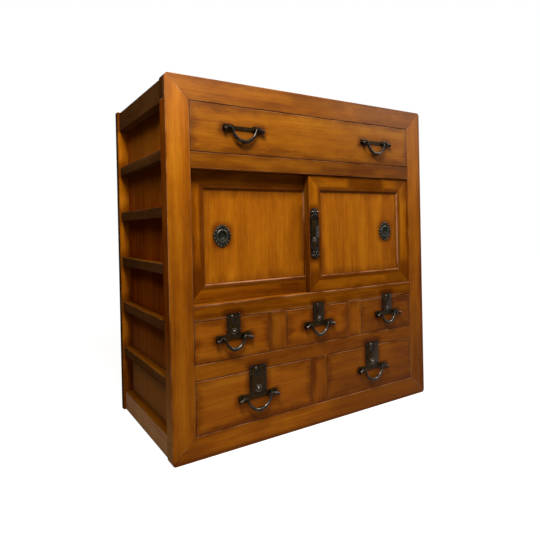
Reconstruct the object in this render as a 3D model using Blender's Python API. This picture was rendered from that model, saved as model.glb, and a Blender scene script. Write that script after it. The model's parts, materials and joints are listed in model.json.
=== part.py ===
"""Merchant's chest: one wide drawer, a pair of sliding doors, three small and two large drawers.

Units are metres. Inside the chest's own frame x runs from the middle to the right, y runs from the
face of the front frame to the back, and z runs up from the floor.
"""

from math import cos, pi, sin

import bmesh
import bpy
from mathutils import Vector

# Overall size and the fit between touching pieces.
WIDTH = 0.850
DEPTH = 0.438
JOINT_GAP = 0.0003
NO_TURN = 1e-12

# Front frame: members seen on the face, and their thickness from front to back.
STILE_WIDTH = 0.059
FRAME_THICK = 0.036
MITRE_SKIN = 0.007
BOTTOM_RAIL = 0.057
MIDDLE_RAIL = 0.038
SILL_RAIL = 0.038
UPPER_RAIL = 0.039
TOP_RAIL = 0.057
DIVIDER_WIDTH = 0.056
RAIL_TENON_LENGTH = 0.016
RAIL_TENON_FRONT = 0.010
RAIL_TENON_THICK = 0.014

# Openings of the front, from the floor up.
LARGE_DRAWER_OPENING = 0.128
SMALL_DRAWER_OPENING = 0.101
DOOR_OPENING = 0.323
TOP_DRAWER_OPENING = 0.119
SMALL_DRAWER_COUNT = 3
LARGE_DRAWER_COUNT = 2

# Sides: a ladder of rails and battens in front of a panel.
SIDE_INSET = 0.007
SIDE_MEMBER_THICK = 0.022
SIDE_RAIL_HEIGHT = 0.054
SIDE_RAIL_DROP = 0.003
BATTEN_COUNT = 5
BATTEN_HEIGHT = 0.025
SIDE_TENON_LENGTH = 0.012
SIDE_TENON_SHOULDER = 0.004
SIDE_PANEL_THICK = 0.010
SIDE_PANEL_LIFT = 0.010

# Back frame and boards.
REAR_THICK = 0.020
REAR_POST_WIDTH = 0.045
REAR_RAIL_HEIGHT = 0.054
BACK_PANEL_INSET = 0.005
BACK_PANEL_THICK = 0.010
TOP_BOARD_THICK = 0.014
TOP_BOARD_DROP = 0.003
DECK_THICK = 0.012
GUIDE_HEIGHT = 0.020

# Drawers.
DRAWER_CLEARANCE = 0.0012
DRAWER_FRONT_THICK = 0.020
TRAY_WALL = 0.009
TRAY_BOTTOM = 0.007
TRAY_TOP_DROP = 0.014
TRAY_REAR_SPACE = 0.010

# Sliding doors.
DOOR_THICK = 0.020
DOOR_MEMBER = 0.043
DOOR_BEVEL_WIDTH = 0.008
DOOR_BEVEL_DEPTH = 0.005
DOOR_OVERLAP = 0.044
DOOR_RECESS = 0.005
DOOR_SPACING = 0.003
DOOR_SIDE_CLEARANCE = 0.001
DOOR_SHOULDER_GAP = 0.001
DOOR_PANEL_THICK = 0.008
DOOR_PANEL_RECESS = 0.006
DOOR_PANEL_TONGUE = 0.006
DOOR_PANEL_SLACK = 0.001
TONGUE_THICK = 0.008
TONGUE_OFFSET = 0.007
TONGUE_END_INSET = 0.002
LOWER_TONGUE = 0.0035
UPPER_TONGUE = 0.008
UPPER_GROOVE = 0.012
TRACK_CLEARANCE = 0.0005
TRACK_RAIL_DEPTH = 0.058

# Bail handles. A size is (eye to eye, drop of the bail's middle line).
LARGE_HANDLE = (0.080, 0.033)
SMALL_HANDLE = (0.064, 0.028)
TOP_HANDLE_INSET = 0.141
BAR_RADIUS = 0.0054
NECK_RADIUS = 0.0024
NECK_CLEARANCE = 0.0003
NECK_MARGIN = 0.0024
FLARE_RADIUS = 0.0056
FLARE_LENGTH = 0.0125
FLARE_TILT = 0.40
BOW_ROUNDNESS = 0.56
BOW_SHOULDER = 0.90
BOW_SIDE = 0.48
BOW_STEPS = 8
FLARE_STEPS = 3
BAIL_SIDES = 10
EYE_STANDOFF = 0.0090
EYE_WALL = 0.0022
EYE_WIDTH = 0.0050
EYE_SIDES = 12
SHANK_SIZE = 0.0042
SHANK_DEPTH = 0.016
PLATE_THICK = 0.0016
STRIP_HEIGHT = 0.009
STRIP_END_HEIGHT = 0.018
STRIP_END_INNER = 0.009
STRIP_END_OUTER = 0.0165
STRIP_END_CORNER = 0.0045
HANDLE_BELOW_LOCK = 0.0055

# Lock plates. A size is (width, height, how far it laps over the rail above).
SMALL_LOCK = (0.037, 0.053, 0.010)
LARGE_LOCK = (0.049, 0.072, 0.012)
LOCK_THICK = 0.002
LOCK_CORNER = 0.004
LOCK_DISC_RADIUS = 0.0068
LOCK_DISC_HEIGHT = 0.0010
LOCK_DISC_BELOW_TOP = 0.022
LOCK_BOSS_RADIUS = 0.0062
LOCK_BOSS_HEIGHT = 0.0050
LOCK_BOSS_ABOVE_END = 0.012
LOCK_DISC_SIDES = 20
LOCK_BOSS_SIDES = 16
LOCK_BOSS_STEPS = 4
DOOR_LOCK_WIDTH = 0.030
DOOR_LOCK_HEIGHT = 0.140
DOOR_LOCK_WAIST = 0.0035
DOOR_LOCK_LOBE = 0.022
DOOR_LOCK_STEPS = 5
DOOR_LOCK_BOLT = (0.012, 0.030, 0.0022)
DOOR_LOCK_BOLT_RISE = 0.004
DOOR_LOCK_BOSS_SHIFT = 0.003

# Finger pulls of the doors.
PULL_WIDTH = 0.048
PULL_HEIGHT = 0.057
PULL_LOBES = 4
PULL_LOBE_DEPTH = 0.0017
PULL_RIM_THICK = 0.002
PULL_RING_RADIUS = 0.0165
PULL_RING_HEIGHT = 0.0035
PULL_CUP_RADIUS = 0.0125
PULL_CUP_DEPTH = 0.009
PULL_FLOOR_RADIUS = 0.00625
PULL_BELLY_RADIUS = 0.01125
PULL_WALL = 0.0012
PULL_FROM_STILE = 0.050
PULL_SIDES = 32

# Heights of the rails' edges and places of the inner faces, worked out from the sizes above.
LARGE_FLOOR = BOTTOM_RAIL
MIDDLE_RAIL_LOW = LARGE_FLOOR + LARGE_DRAWER_OPENING
SMALL_FLOOR = MIDDLE_RAIL_LOW + MIDDLE_RAIL
SILL_LOW = SMALL_FLOOR + SMALL_DRAWER_OPENING
DOOR_FLOOR = SILL_LOW + SILL_RAIL
UPPER_RAIL_LOW = DOOR_FLOOR + DOOR_OPENING
TOP_FLOOR = UPPER_RAIL_LOW + UPPER_RAIL
TOP_RAIL_LOW = TOP_FLOOR + TOP_DRAWER_OPENING
HEIGHT = TOP_RAIL_LOW + TOP_RAIL
OPENING = WIDTH - 2 * STILE_WIDTH
HALF_OPENING = OPENING / 2
REAR_FACE = DEPTH - REAR_THICK
SIDE_MEMBER_INNER = WIDTH / 2 - SIDE_INSET - SIDE_MEMBER_THICK
PANEL_OUTER = SIDE_MEMBER_INNER - JOINT_GAP
PANEL_INNER = PANEL_OUTER - SIDE_PANEL_THICK
EYE_BORE = NECK_RADIUS + NECK_CLEARANCE
EYE_RADIUS = EYE_BORE + EYE_WALL
FITTING_REACH = EYE_STANDOFF + max(FLARE_RADIUS, EYE_RADIUS, BAR_RADIUS)
FRONT_FACE = (FITTING_REACH - DEPTH) / 2


def clear_scene():
    for item in list(bpy.data.objects):
        bpy.data.objects.remove(item)


def finish(name, colour, roughness, metallic=0.0):
    material = bpy.data.materials.new(name)
    material.use_nodes = True
    shader = material.node_tree.nodes["Principled BSDF"]
    shader.inputs["Base Color"].default_value = (*colour, 1.0)
    shader.inputs["Roughness"].default_value = roughness
    shader.inputs["Metallic"].default_value = metallic
    return material


def empty(name, location, parent=None):
    holder = bpy.data.objects.new(name, None)
    holder.location = location
    holder.parent = parent
    bpy.context.scene.collection.objects.link(holder)
    return holder


def add(name, mesh, material, parent, location=(0, 0, 0), smooth=False):
    """Put a finished mesh in the scene as one named piece."""
    mesh.name = name
    mesh.materials.clear()
    mesh.materials.append(material)
    if smooth:
        mesh.shade_smooth()
        mesh.set_sharp_from_angle(angle=pi / 5)
    piece = bpy.data.objects.new(name, mesh)
    piece.location = location
    piece.parent = parent
    bpy.context.scene.collection.objects.link(piece)
    return piece


def mesh_from(builder):
    """Turn an edited mesh into a stored one, with its faces pointing out."""
    bmesh.ops.recalc_face_normals(builder, faces=builder.faces)
    mesh = bpy.data.meshes.new("solid")
    builder.to_mesh(mesh)
    builder.free()
    return mesh


def boxes(*corners):
    """Closed boxes in one mesh, each given by its low and high corner."""
    builder = bmesh.new()
    for low, high in corners:
        low = Vector(low)
        size = Vector(high) - low
        for vertex in bmesh.ops.create_cube(builder, size=1.0)["verts"]:
            vertex.co = [low[i] + (vertex.co[i] + 0.5) * size[i] for i in range(3)]
    return mesh_from(builder)


def prism(outline, axis, start, end):
    """Extrude a flat outline along an axis; the outline holds the other two axes in x, y, z order."""
    builder = bmesh.new()
    corners = []
    for first, second in outline:
        point = [first, second]
        point.insert("XYZ".index(axis), start)
        corners.append(builder.verts.new(point))
    face = builder.faces.new(corners)
    travel = Vector((0, 0, 0))
    travel["XYZ".index(axis)] = end - start
    extruded = bmesh.ops.extrude_face_region(builder, geom=[face], use_keep_orig=True)
    moved = [item for item in extruded["geom"] if isinstance(item, bmesh.types.BMVert)]
    bmesh.ops.translate(builder, verts=moved, vec=travel)
    return mesh_from(builder)


def loft(rings, closed=False):
    """Skin a row of equal rings; the ends are capped, or joined to each other if closed."""
    builder = bmesh.new()
    loops = [[builder.verts.new(point) for point in ring] for ring in rings]
    pairs = list(zip(loops, loops[1:]))
    if closed:
        pairs.append((loops[-1], loops[0]))
    for near, far in pairs:
        for i in range(len(near)):
            j = (i + 1) % len(near)
            builder.faces.new((near[i], near[j], far[j], far[i]))
    if not closed:
        builder.faces.new(loops[0])
        builder.faces.new(loops[-1])
    return mesh_from(builder)


def combine(base, tool, operation):
    """Join two closed meshes, or cut the second out of the first."""
    scene_objects = bpy.context.scene.collection.objects
    base_piece = bpy.data.objects.new("base", base)
    tool_piece = bpy.data.objects.new("tool", tool)
    scene_objects.link(base_piece)
    scene_objects.link(tool_piece)
    modifier = base_piece.modifiers.new("combine", "BOOLEAN")
    modifier.operation = operation
    modifier.object = tool_piece
    evaluated = base_piece.evaluated_get(bpy.context.evaluated_depsgraph_get())
    result = bpy.data.meshes.new_from_object(evaluated)
    bpy.data.objects.remove(base_piece)
    bpy.data.objects.remove(tool_piece)
    return result


def join(base, tool):
    return combine(base, tool, "UNION")


def cut(base, tool):
    return combine(base, tool, "DIFFERENCE")


def grown(low, high, gap):
    """A box made larger all round by a gap."""
    return [value - gap for value in low], [value + gap for value in high]


def circle(radius, sides, x=0.0, z=0.0):
    angles = [2 * pi * i / sides for i in range(sides)]
    return [(x + radius * cos(angle), z + radius * sin(angle)) for angle in angles]


def turned(profile, sides, x=0.0, z=0.0):
    """Turn a profile of (radius, y) about a line along y through (x, z)."""
    rings = [[(px, y, pz) for px, pz in circle(radius, sides, x, z)] for radius, y in profile]
    return loft(rings)


def side_members():
    """Low and high edges of the ladder's members, from the floor up."""
    bottom = (0.0, SIDE_RAIL_HEIGHT)
    top = (HEIGHT - SIDE_RAIL_DROP - SIDE_RAIL_HEIGHT, HEIGHT - SIDE_RAIL_DROP)
    gap = (top[0] - bottom[1] - BATTEN_COUNT * BATTEN_HEIGHT) / (BATTEN_COUNT + 1)
    battens = []
    for i in range(BATTEN_COUNT):
        low = bottom[1] + gap + i * (gap + BATTEN_HEIGHT)
        battens.append((low, low + BATTEN_HEIGHT))
    return [bottom, *battens, top]


def mirrored(side, near, far):
    """Low and high x of a span given from the middle outwards, on the left (-1) or the right (1)."""
    return sorted((side * near, side * far))


def cross_rail_rows():
    """Name, low and high edge and depth of each rail between the stiles."""
    return [
        ("middle_cross_rail", MIDDLE_RAIL_LOW, SMALL_FLOOR, FRAME_THICK),
        ("door_sill_rail", SILL_LOW, DOOR_FLOOR, TRACK_RAIL_DEPTH),
        ("upper_cross_rail", UPPER_RAIL_LOW, TOP_FLOOR, TRACK_RAIL_DEPTH),
    ]


def add_stiles(chest, wood):
    """Stiles: a mitred skin on the face, a core between the rails, and mortises for what meets them."""
    for side, name in ((-1, "front_stile_left"), (1, "front_stile_right")):
        outer = side * WIDTH / 2
        inner = side * HALF_OPENING
        face = [(outer, JOINT_GAP), (inner, BOTTOM_RAIL), (inner, TOP_RAIL_LOW), (outer, HEIGHT - JOINT_GAP)]
        core = [(outer, BOTTOM_RAIL), (inner, BOTTOM_RAIL), (inner, TOP_RAIL_LOW), (outer, TOP_RAIL_LOW)]
        stile = join(prism(face, "Y", 0, MITRE_SKIN), prism(core, "Y", MITRE_SKIN, FRAME_THICK))
        mortises = []
        near, far = mirrored(side, SIDE_MEMBER_INNER, WIDTH / 2 - SIDE_INSET)
        for low, high in side_members()[1:-1]:
            tenon = ((near, FRAME_THICK - SIDE_TENON_LENGTH, low + SIDE_TENON_SHOULDER),
                     (far, FRAME_THICK + SIDE_TENON_LENGTH, high - SIDE_TENON_SHOULDER))
            mortises.append(grown(*tenon, JOINT_GAP))
        near, far = mirrored(side, HALF_OPENING - RAIL_TENON_LENGTH, HALF_OPENING + RAIL_TENON_LENGTH)
        for _, low, high, _ in cross_rail_rows():
            tenon = ((near, RAIL_TENON_FRONT, low + JOINT_GAP),
                     (far, RAIL_TENON_FRONT + RAIL_TENON_THICK, high - JOINT_GAP))
            mortises.append(grown(*tenon, JOINT_GAP))
        add(name, cut(stile, boxes(*mortises)), wood, chest)


def add_end_rails(chest, wood):
    """Top and bottom rail of the face: mitred skin, and a core whose end grain shows at the sides."""
    outer = WIDTH / 2
    for name, edge, inner_edge in (("front_bottom_rail", 0, BOTTOM_RAIL - JOINT_GAP),
                                   ("front_top_rail", HEIGHT, TOP_RAIL_LOW + JOINT_GAP)):
        face = [(-outer, edge), (outer, edge), (HALF_OPENING, inner_edge), (-HALF_OPENING, inner_edge)]
        core = [(-outer, edge), (outer, edge), (outer, inner_edge), (-outer, inner_edge)]
        core_front = MITRE_SKIN + JOINT_GAP
        rail = join(prism(face, "Y", 0, core_front), prism(core, "Y", core_front, FRAME_THICK))
        add(name, rail, wood, chest)


def door_track(order):
    """Front and back of a door's tongue; order 0 is the front track and 1 the rear one."""
    front = DOOR_RECESS + order * (DOOR_THICK + DOOR_SPACING) + TONGUE_OFFSET
    return front, front + TONGUE_THICK


def track_grooves(low, high):
    """Two grooves along the opening, as wide as the doors' tongues and their clearance."""
    grooves = []
    for order in (0, 1):
        front, back = door_track(order)
        grooves.append(((-HALF_OPENING, front - TRACK_CLEARANCE, low),
                        (HALF_OPENING, back + TRACK_CLEARANCE, high)))
    return boxes(*grooves)


def lower_groove_floor():
    """The doors' lower tongues stand on this height."""
    return DOOR_FLOOR + DOOR_SHOULDER_GAP - LOWER_TONGUE - JOINT_GAP


def add_cross_rails(chest, wood):
    """Rails between the stiles, tenoned into them; the upper two carry the doors' tracks."""
    reach = HALF_OPENING - JOINT_GAP
    tenon = reach + RAIL_TENON_LENGTH
    tenon_back = RAIL_TENON_FRONT + RAIL_TENON_THICK
    for name, low, high, depth in cross_rail_rows():
        right = [(reach, 0), (reach, RAIL_TENON_FRONT), (tenon, RAIL_TENON_FRONT),
                 (tenon, tenon_back), (reach, tenon_back), (reach, depth)]
        left = [(-x, y) for x, y in reversed(right)]
        rail = prism(right + left, "Z", low + JOINT_GAP, high - JOINT_GAP)
        if name == "door_sill_rail":
            rail = cut(rail, track_grooves(lower_groove_floor(), high + JOINT_GAP))
        if name == "upper_cross_rail":
            rail = cut(rail, track_grooves(low - JOINT_GAP, low + UPPER_GROOVE))
        add(name, rail, wood, chest)


def add_dividers(chest, wood):
    """Uprights between the drawers of a row, tied to the rails above and below."""
    for name, x in zip(("small_divider_left", "small_divider_right"), divider_centres(SMALL_DRAWER_COUNT)):
        add(name, boxes(((x - DIVIDER_WIDTH / 2, 0, SMALL_FLOOR + JOINT_GAP),
                         (x + DIVIDER_WIDTH / 2, FRAME_THICK, SILL_LOW - JOINT_GAP))), wood, chest)
    x = divider_centres(LARGE_DRAWER_COUNT)[0]
    divider = boxes(((x - DIVIDER_WIDTH / 2, 0, LARGE_FLOOR + JOINT_GAP),
                     (x + DIVIDER_WIDTH / 2, FRAME_THICK, MIDDLE_RAIL_LOW - JOINT_GAP)))
    add("large_divider", divider, wood, chest)


def cell_width(count):
    """Width of one drawer opening in a row of equal ones."""
    return (OPENING - (count - 1) * DIVIDER_WIDTH) / count


def cell_centres(count):
    pitch = cell_width(count) + DIVIDER_WIDTH
    return [(i - (count - 1) / 2) * pitch for i in range(count)]


def divider_centres(count):
    centres = cell_centres(count)
    return [(left + right) / 2 for left, right in zip(centres, centres[1:])]


def add_sides(chest, ladder_wood, panel_wood):
    """Ladder of rails and battens on each rear post, and the panel behind it."""
    post_spine = REAR_FACE + REAR_THICK / 2
    shoulder = FRAME_THICK + JOINT_GAP
    tenon_end = FRAME_THICK - SIDE_TENON_LENGTH
    members = side_members()
    outline = []
    for low, high in members:
        is_rail = (low, high) in (members[0], members[-1])
        tip = shoulder if is_rail else tenon_end
        inset = SIDE_TENON_SHOULDER
        outline += [(post_spine, low), (shoulder, low), (shoulder, low + inset), (tip, low + inset),
                    (tip, high - inset), (shoulder, high - inset), (shoulder, high), (post_spine, high)]
    spine_back = post_spine + REAR_THICK / 4
    outline += [(spine_back, members[-1][1]), (spine_back, members[0][0])]
    for side, word in ((-1, "left"), (1, "right")):
        near, far = mirrored(side, SIDE_MEMBER_INNER, WIDTH / 2 - SIDE_INSET)
        comb = prism(without_repeats(outline), "X", near, far)
        near, far = mirrored(side, WIDTH / 2 - REAR_POST_WIDTH, WIDTH / 2)
        post = boxes(((near, REAR_FACE, 0), (far, DEPTH, HEIGHT)))
        add("side_ladder_" + word, join(post, comb), ladder_wood, chest)
        near, far = mirrored(side, PANEL_INNER, PANEL_OUTER)
        panel = boxes(((near, FRAME_THICK + JOINT_GAP, SIDE_PANEL_LIFT),
                       (far, REAR_FACE - JOINT_GAP, top_board_low() - JOINT_GAP)))
        add("side_panel_" + word, panel, panel_wood, chest)


def without_repeats(outline):
    """Drop a point that lies on the one before it or on a straight run between its neighbours."""
    kept = []
    count = len(outline)
    for i, point in enumerate(outline):
        before = Vector(outline[i - 1])
        after = Vector(outline[(i + 1) % count])
        here = Vector(point)
        turn = (here - before).x * (after - here).y - (here - before).y * (after - here).x
        if abs(turn) > NO_TURN:
            kept.append(point)
    return kept


def top_board_low():
    return HEIGHT - TOP_BOARD_DROP - TOP_BOARD_THICK


def add_back_and_top(chest, frame_wood, board_wood):
    """Rear rails and panel between the rear posts, and the board that closes the top."""
    reach = WIDTH / 2 - REAR_POST_WIDTH - JOINT_GAP
    add("rear_bottom_rail", boxes(((-reach, REAR_FACE, 0), (reach, DEPTH, REAR_RAIL_HEIGHT))),
        frame_wood, chest)
    add("rear_top_rail", boxes(((-reach, REAR_FACE, HEIGHT - REAR_RAIL_HEIGHT), (reach, DEPTH, HEIGHT))),
        frame_wood, chest)
    panel_front = REAR_FACE + BACK_PANEL_INSET
    add("back_panel", boxes(((-reach, panel_front, REAR_RAIL_HEIGHT + JOINT_GAP),
                             (reach, panel_front + BACK_PANEL_THICK, HEIGHT - REAR_RAIL_HEIGHT - JOINT_GAP))),
        board_wood, chest)
    low = top_board_low()
    add("top_board", boxes(((-PANEL_OUTER, FRAME_THICK + JOINT_GAP, low),
                            (PANEL_OUTER, REAR_FACE - JOINT_GAP, low + TOP_BOARD_THICK))), board_wood, chest)


def add_decks(chest, wood):
    """Boards that carry the drawers, with guide strips beside and between them."""
    rows = [
        ("bottom_board", LARGE_FLOOR, FRAME_THICK, divider_centres(LARGE_DRAWER_COUNT), True),
        ("middle_deck", SMALL_FLOOR, FRAME_THICK, divider_centres(SMALL_DRAWER_COUNT), True),
        ("compartment_floor", DOOR_FLOOR, TRACK_RAIL_DEPTH, [], False),
        ("upper_deck", TOP_FLOOR, TRACK_RAIL_DEPTH, [], True),
    ]
    edge = PANEL_INNER - JOINT_GAP
    for name, top, front, middles, guided in rows:
        low = top - DECK_THICK
        rise = top + GUIDE_HEIGHT
        outline = [(-edge, low), (edge, low)]
        if guided:
            outline += [(edge, rise), (HALF_OPENING, rise), (HALF_OPENING, top)]
            for x in reversed(middles):
                right = x + DIVIDER_WIDTH / 2
                left = x - DIVIDER_WIDTH / 2
                outline += [(right, top), (right, rise), (left, rise), (left, top)]
            outline += [(-HALF_OPENING, top), (-HALF_OPENING, rise), (-edge, rise)]
        else:
            outline += [(edge, top), (-edge, top)]
        add(name, prism(outline, "Y", front + JOINT_GAP, REAR_FACE - JOINT_GAP), wood, chest)


def drawer_rows():
    """Name, middle x, floor, opening size, handle size, handle places and lock size of each drawer."""
    rows = [("top_drawer", 0.0, TOP_FLOOR, OPENING, TOP_DRAWER_OPENING, LARGE_HANDLE,
             (("_left", TOP_HANDLE_INSET - HALF_OPENING), ("_right", HALF_OPENING - TOP_HANDLE_INSET)), None)]
    for word, x in zip(("left", "middle", "right"), cell_centres(SMALL_DRAWER_COUNT)):
        rows.append(("small_drawer_" + word, x, SMALL_FLOOR, cell_width(SMALL_DRAWER_COUNT),
                     SMALL_DRAWER_OPENING, SMALL_HANDLE, (("", 0.0),), SMALL_LOCK))
    for word, x in zip(("left", "right"), cell_centres(LARGE_DRAWER_COUNT)):
        rows.append(("large_drawer_" + word, x, LARGE_FLOOR, cell_width(LARGE_DRAWER_COUNT),
                     LARGE_DRAWER_OPENING, LARGE_HANDLE, (("", 0.0),), LARGE_LOCK))
    return rows


def add_drawer(chest, row, front_wood, tray_wood, iron):
    """One drawer: front, tray, handles and, where it has one, its lock plate."""
    name, x, floor, opening_width, opening_height, handle, places, lock = row
    drawer = empty(name, (x, 0, floor), chest)
    half = opening_width / 2 - DRAWER_CLEARANCE
    top = opening_height - DRAWER_CLEARANCE
    pivot = handle_height(opening_height, lock)
    span = handle[0]
    sockets = []
    for _, place in places:
        for side in (-1, 1):
            sockets.append(grown(*shank_corners(place + side * span / 2, pivot), JOINT_GAP))
    front = boxes(((-half, 0, DRAWER_CLEARANCE), (half, DRAWER_FRONT_THICK, top)))
    add(name + "_front", cut(front, boxes(*sockets)), front_wood, drawer)

    tray_front = DRAWER_FRONT_THICK + JOINT_GAP
    tray_back = REAR_FACE - TRAY_REAR_SPACE
    tray_top = top - TRAY_TOP_DROP
    shell = boxes(((-half, tray_front, JOINT_GAP), (half, tray_back, tray_top)))
    hollow = boxes(((TRAY_WALL - half, tray_front - TRAY_WALL, TRAY_BOTTOM),
                    (half - TRAY_WALL, tray_back - TRAY_WALL, tray_top + TRAY_WALL)))
    add(name + "_tray", cut(shell, hollow), tray_wood, drawer)

    for word, place in places:
        add(name + "_handle_mount" + word, handle_mount_mesh(place, pivot, span), iron, drawer)
        axis = (place, -EYE_STANDOFF, pivot)
        add(name + "_bail" + word, bail_mesh(handle), iron, drawer, axis, smooth=True)
    if lock:
        add(name + "_lock_plate", lock_mesh(lock, opening_height), iron, drawer)


def handle_height(opening_height, lock):
    """Height of the bail's axis above the drawer's floor: just under the lock plate, or at mid height."""
    if not lock:
        return opening_height / 2 + STRIP_HEIGHT / 2
    return opening_height + lock[2] - lock[1] - HANDLE_BELOW_LOCK


def shank_corners(x, z):
    """The part of an eye's shank that goes back through the plate into the drawer front."""
    half = SHANK_SIZE / 2
    return (x - half, -EYE_STANDOFF + EYE_RADIUS - EYE_WALL / 2, z - half), (x + half, SHANK_DEPTH, z + half)


def handle_mount_mesh(x, z, span):
    """Back plate with widened ends, and an eye on a shank near each end."""
    near = span / 2 - STRIP_END_INNER
    far = span / 2 + STRIP_END_OUTER
    waist = STRIP_HEIGHT / 2
    half = STRIP_END_HEIGHT / 2
    lower = [(near - (half - waist), -waist), (near, -half), (far - STRIP_END_CORNER, -half),
             (far, STRIP_END_CORNER - half)]
    right = lower + [(px, -pz) for px, pz in reversed(lower)]
    left = [(-px, -pz) for px, pz in right]
    outline = [(x + px, z + pz) for px, pz in right + left]
    mount = prism(outline, "Y", -JOINT_GAP - PLATE_THICK, -JOINT_GAP)
    eyes = [x - span / 2, x + span / 2]
    mount = join(mount, boxes(*[shank_corners(eye, z) for eye in eyes]))
    for eye in eyes:
        mount = join(mount, eye_mesh(eye, z))
    return mount


def eye_mesh(x, z):
    """Ring round the bail's neck, turned about the bail's axis."""
    bore = EYE_BORE / cos(pi / EYE_SIDES)
    half = EYE_WIDTH / 2
    rings = []
    for radius, reach in ((bore, -half), (EYE_RADIUS, -half), (EYE_RADIUS, half), (bore, half)):
        rings.append([(x + reach, -EYE_STANDOFF + py, z + pz) for py, pz in circle(radius, EYE_SIDES)])
    return loft(rings, closed=True)


def bail_path(handle):
    """Middle line and radius of the bail's right half, from the lowest point out to the flared end."""
    span, drop = handle
    neck_start = span / 2 - EYE_WIDTH / 2 - NECK_MARGIN
    neck_end = span / 2 + EYE_WIDTH / 2 + NECK_MARGIN
    path = []
    for i in range(BOW_STEPS + 1):
        t = i / BOW_STEPS
        rest = 1 - t
        x = neck_start * (3 * rest * rest * t * BOW_ROUNDNESS + 3 * rest * t * t * BOW_SHOULDER + t ** 3)
        z = -drop * (rest ** 3 + 3 * rest * rest * t + 3 * rest * t * t * BOW_SIDE)
        path.append((x, z, BAR_RADIUS + (NECK_RADIUS - BAR_RADIUS) * t * t))
    path.append((neck_end, 0.0, NECK_RADIUS))
    for i in range(1, FLARE_STEPS + 1):
        share = i / FLARE_STEPS
        length = FLARE_LENGTH * share
        path.append((neck_end + length * cos(FLARE_TILT), -length * sin(FLARE_TILT),
                     NECK_RADIUS + (FLARE_RADIUS - NECK_RADIUS) * share))
    return path


def bail_mesh(handle):
    """Round bar hanging in a bow, its ends turned out through the eyes and flared."""
    right = bail_path(handle)
    left = [(-x, z, radius) for x, z, radius in reversed(right[1:])]
    path = left + right
    rings = []
    for i, (x, z, radius) in enumerate(path):
        before = path[max(i - 1, 0)]
        after = path[min(i + 1, len(path) - 1)]
        along = Vector((after[0] - before[0], 0, after[1] - before[1])).normalized()
        across = Vector((-along.z, 0, along.x))
        ring = []
        for depth, rise in circle(radius, BAIL_SIDES):
            ring.append(Vector((x, 0, z)) + across * rise + Vector((0, -depth, 0)))
        rings.append(ring)
    return loft(rings)


def lock_mesh(lock, opening_height):
    """Drawer lock plate lapping over the rail above, with a flat disc and a domed boss."""
    width, height, lap = lock
    top = opening_height + lap
    low = top - height
    half = width / 2
    outline = [(-half, low), (half, low), (half, top - LOCK_CORNER), (half - LOCK_CORNER, top),
               (LOCK_CORNER - half, top), (-half, top - LOCK_CORNER)]
    face = -JOINT_GAP - LOCK_THICK
    plate = prism(outline, "Y", face, -JOINT_GAP)
    sunk = face + LOCK_THICK / 2
    disc = turned([(LOCK_DISC_RADIUS, sunk), (LOCK_DISC_RADIUS, face - LOCK_DISC_HEIGHT)], LOCK_DISC_SIDES,
                  0, top - LOCK_DISC_BELOW_TOP)
    plate = join(plate, disc)
    return join(plate, dome(LOCK_BOSS_RADIUS, LOCK_BOSS_HEIGHT, sunk, face, 0, low + LOCK_BOSS_ABOVE_END))


def dome(radius, height, sunk, face, x, z):
    """Round boss that rises from a face with a curved top."""
    profile = [(radius, sunk)]
    for i in range(LOCK_BOSS_STEPS):
        angle = pi / 2 * i / LOCK_BOSS_STEPS
        profile.append((radius * cos(angle), face - height * sin(angle)))
    return turned(profile, LOCK_BOSS_SIDES, x, z)


def add_doors(chest, frame_wood, panel_wood, iron):
    """Two framed doors that slide past each other; the right one runs in the front track."""
    width = (OPENING + DOOR_OVERLAP) / 2 - DOOR_SIDE_CLEARANCE
    height = DOOR_OPENING - 2 * DOOR_SHOULDER_GAP
    reach = HALF_OPENING - DOOR_SIDE_CLEARANCE
    for name, side, order in (("door_left", -1, 1), ("door_right", 1, 0)):
        middle = side * (reach - width / 2)
        face = DOOR_RECESS + order * (DOOR_THICK + DOOR_SPACING)
        door = empty(name, (middle, face, DOOR_FLOOR + DOOR_SHOULDER_GAP), chest)
        add(name + "_frame", door_frame_mesh(width, height), frame_wood, door)
        pull_x = side * (width / 2 - DOOR_MEMBER - PULL_FROM_STILE)
        pull_z = height / 2
        add(name + "_panel", door_panel_mesh(width, height, pull_x, pull_z), panel_wood, door)
        add(name + "_finger_pull", pull_mesh(pull_x, pull_z), iron, door, smooth=True)
        if order == 0:
            lock_x = -side * (width / 2 - DOOR_MEMBER / 2 + DOOR_BEVEL_WIDTH / 2)
            add(name + "_lock_plate", door_lock_mesh(lock_x, height / 2), iron, door)


def door_frame_mesh(width, height):
    """Mitred frame with a sloped inner edge and a groove for the panel, and a tongue above and below."""
    groove = DOOR_MEMBER - DOOR_PANEL_TONGUE - DOOR_PANEL_SLACK
    groove_front = DOOR_PANEL_RECESS - JOINT_GAP
    groove_back = DOOR_PANEL_RECESS + DOOR_PANEL_THICK + JOINT_GAP
    profile = [(0, 0), (DOOR_MEMBER - DOOR_BEVEL_WIDTH, 0), (DOOR_MEMBER, DOOR_BEVEL_DEPTH),
               (DOOR_MEMBER, groove_front), (groove, groove_front), (groove, groove_back),
               (DOOR_MEMBER, groove_back), (DOOR_MEMBER, DOOR_THICK), (0, DOOR_THICK)]
    rings = []
    for inset, depth in profile:
        half = width / 2 - inset
        rings.append([(-half, depth, inset), (half, depth, inset),
                      (half, depth, height - inset), (-half, depth, height - inset)])
    frame = loft(rings, closed=True)
    half = width / 2 - TONGUE_END_INSET
    front = TONGUE_OFFSET
    back = TONGUE_OFFSET + TONGUE_THICK
    root = DOOR_MEMBER / 4
    tongues = boxes(((-half, front, -LOWER_TONGUE), (half, back, root)),
                    ((-half, front, height - root), (half, back, height + UPPER_TONGUE)))
    return join(frame, tongues)


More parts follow.
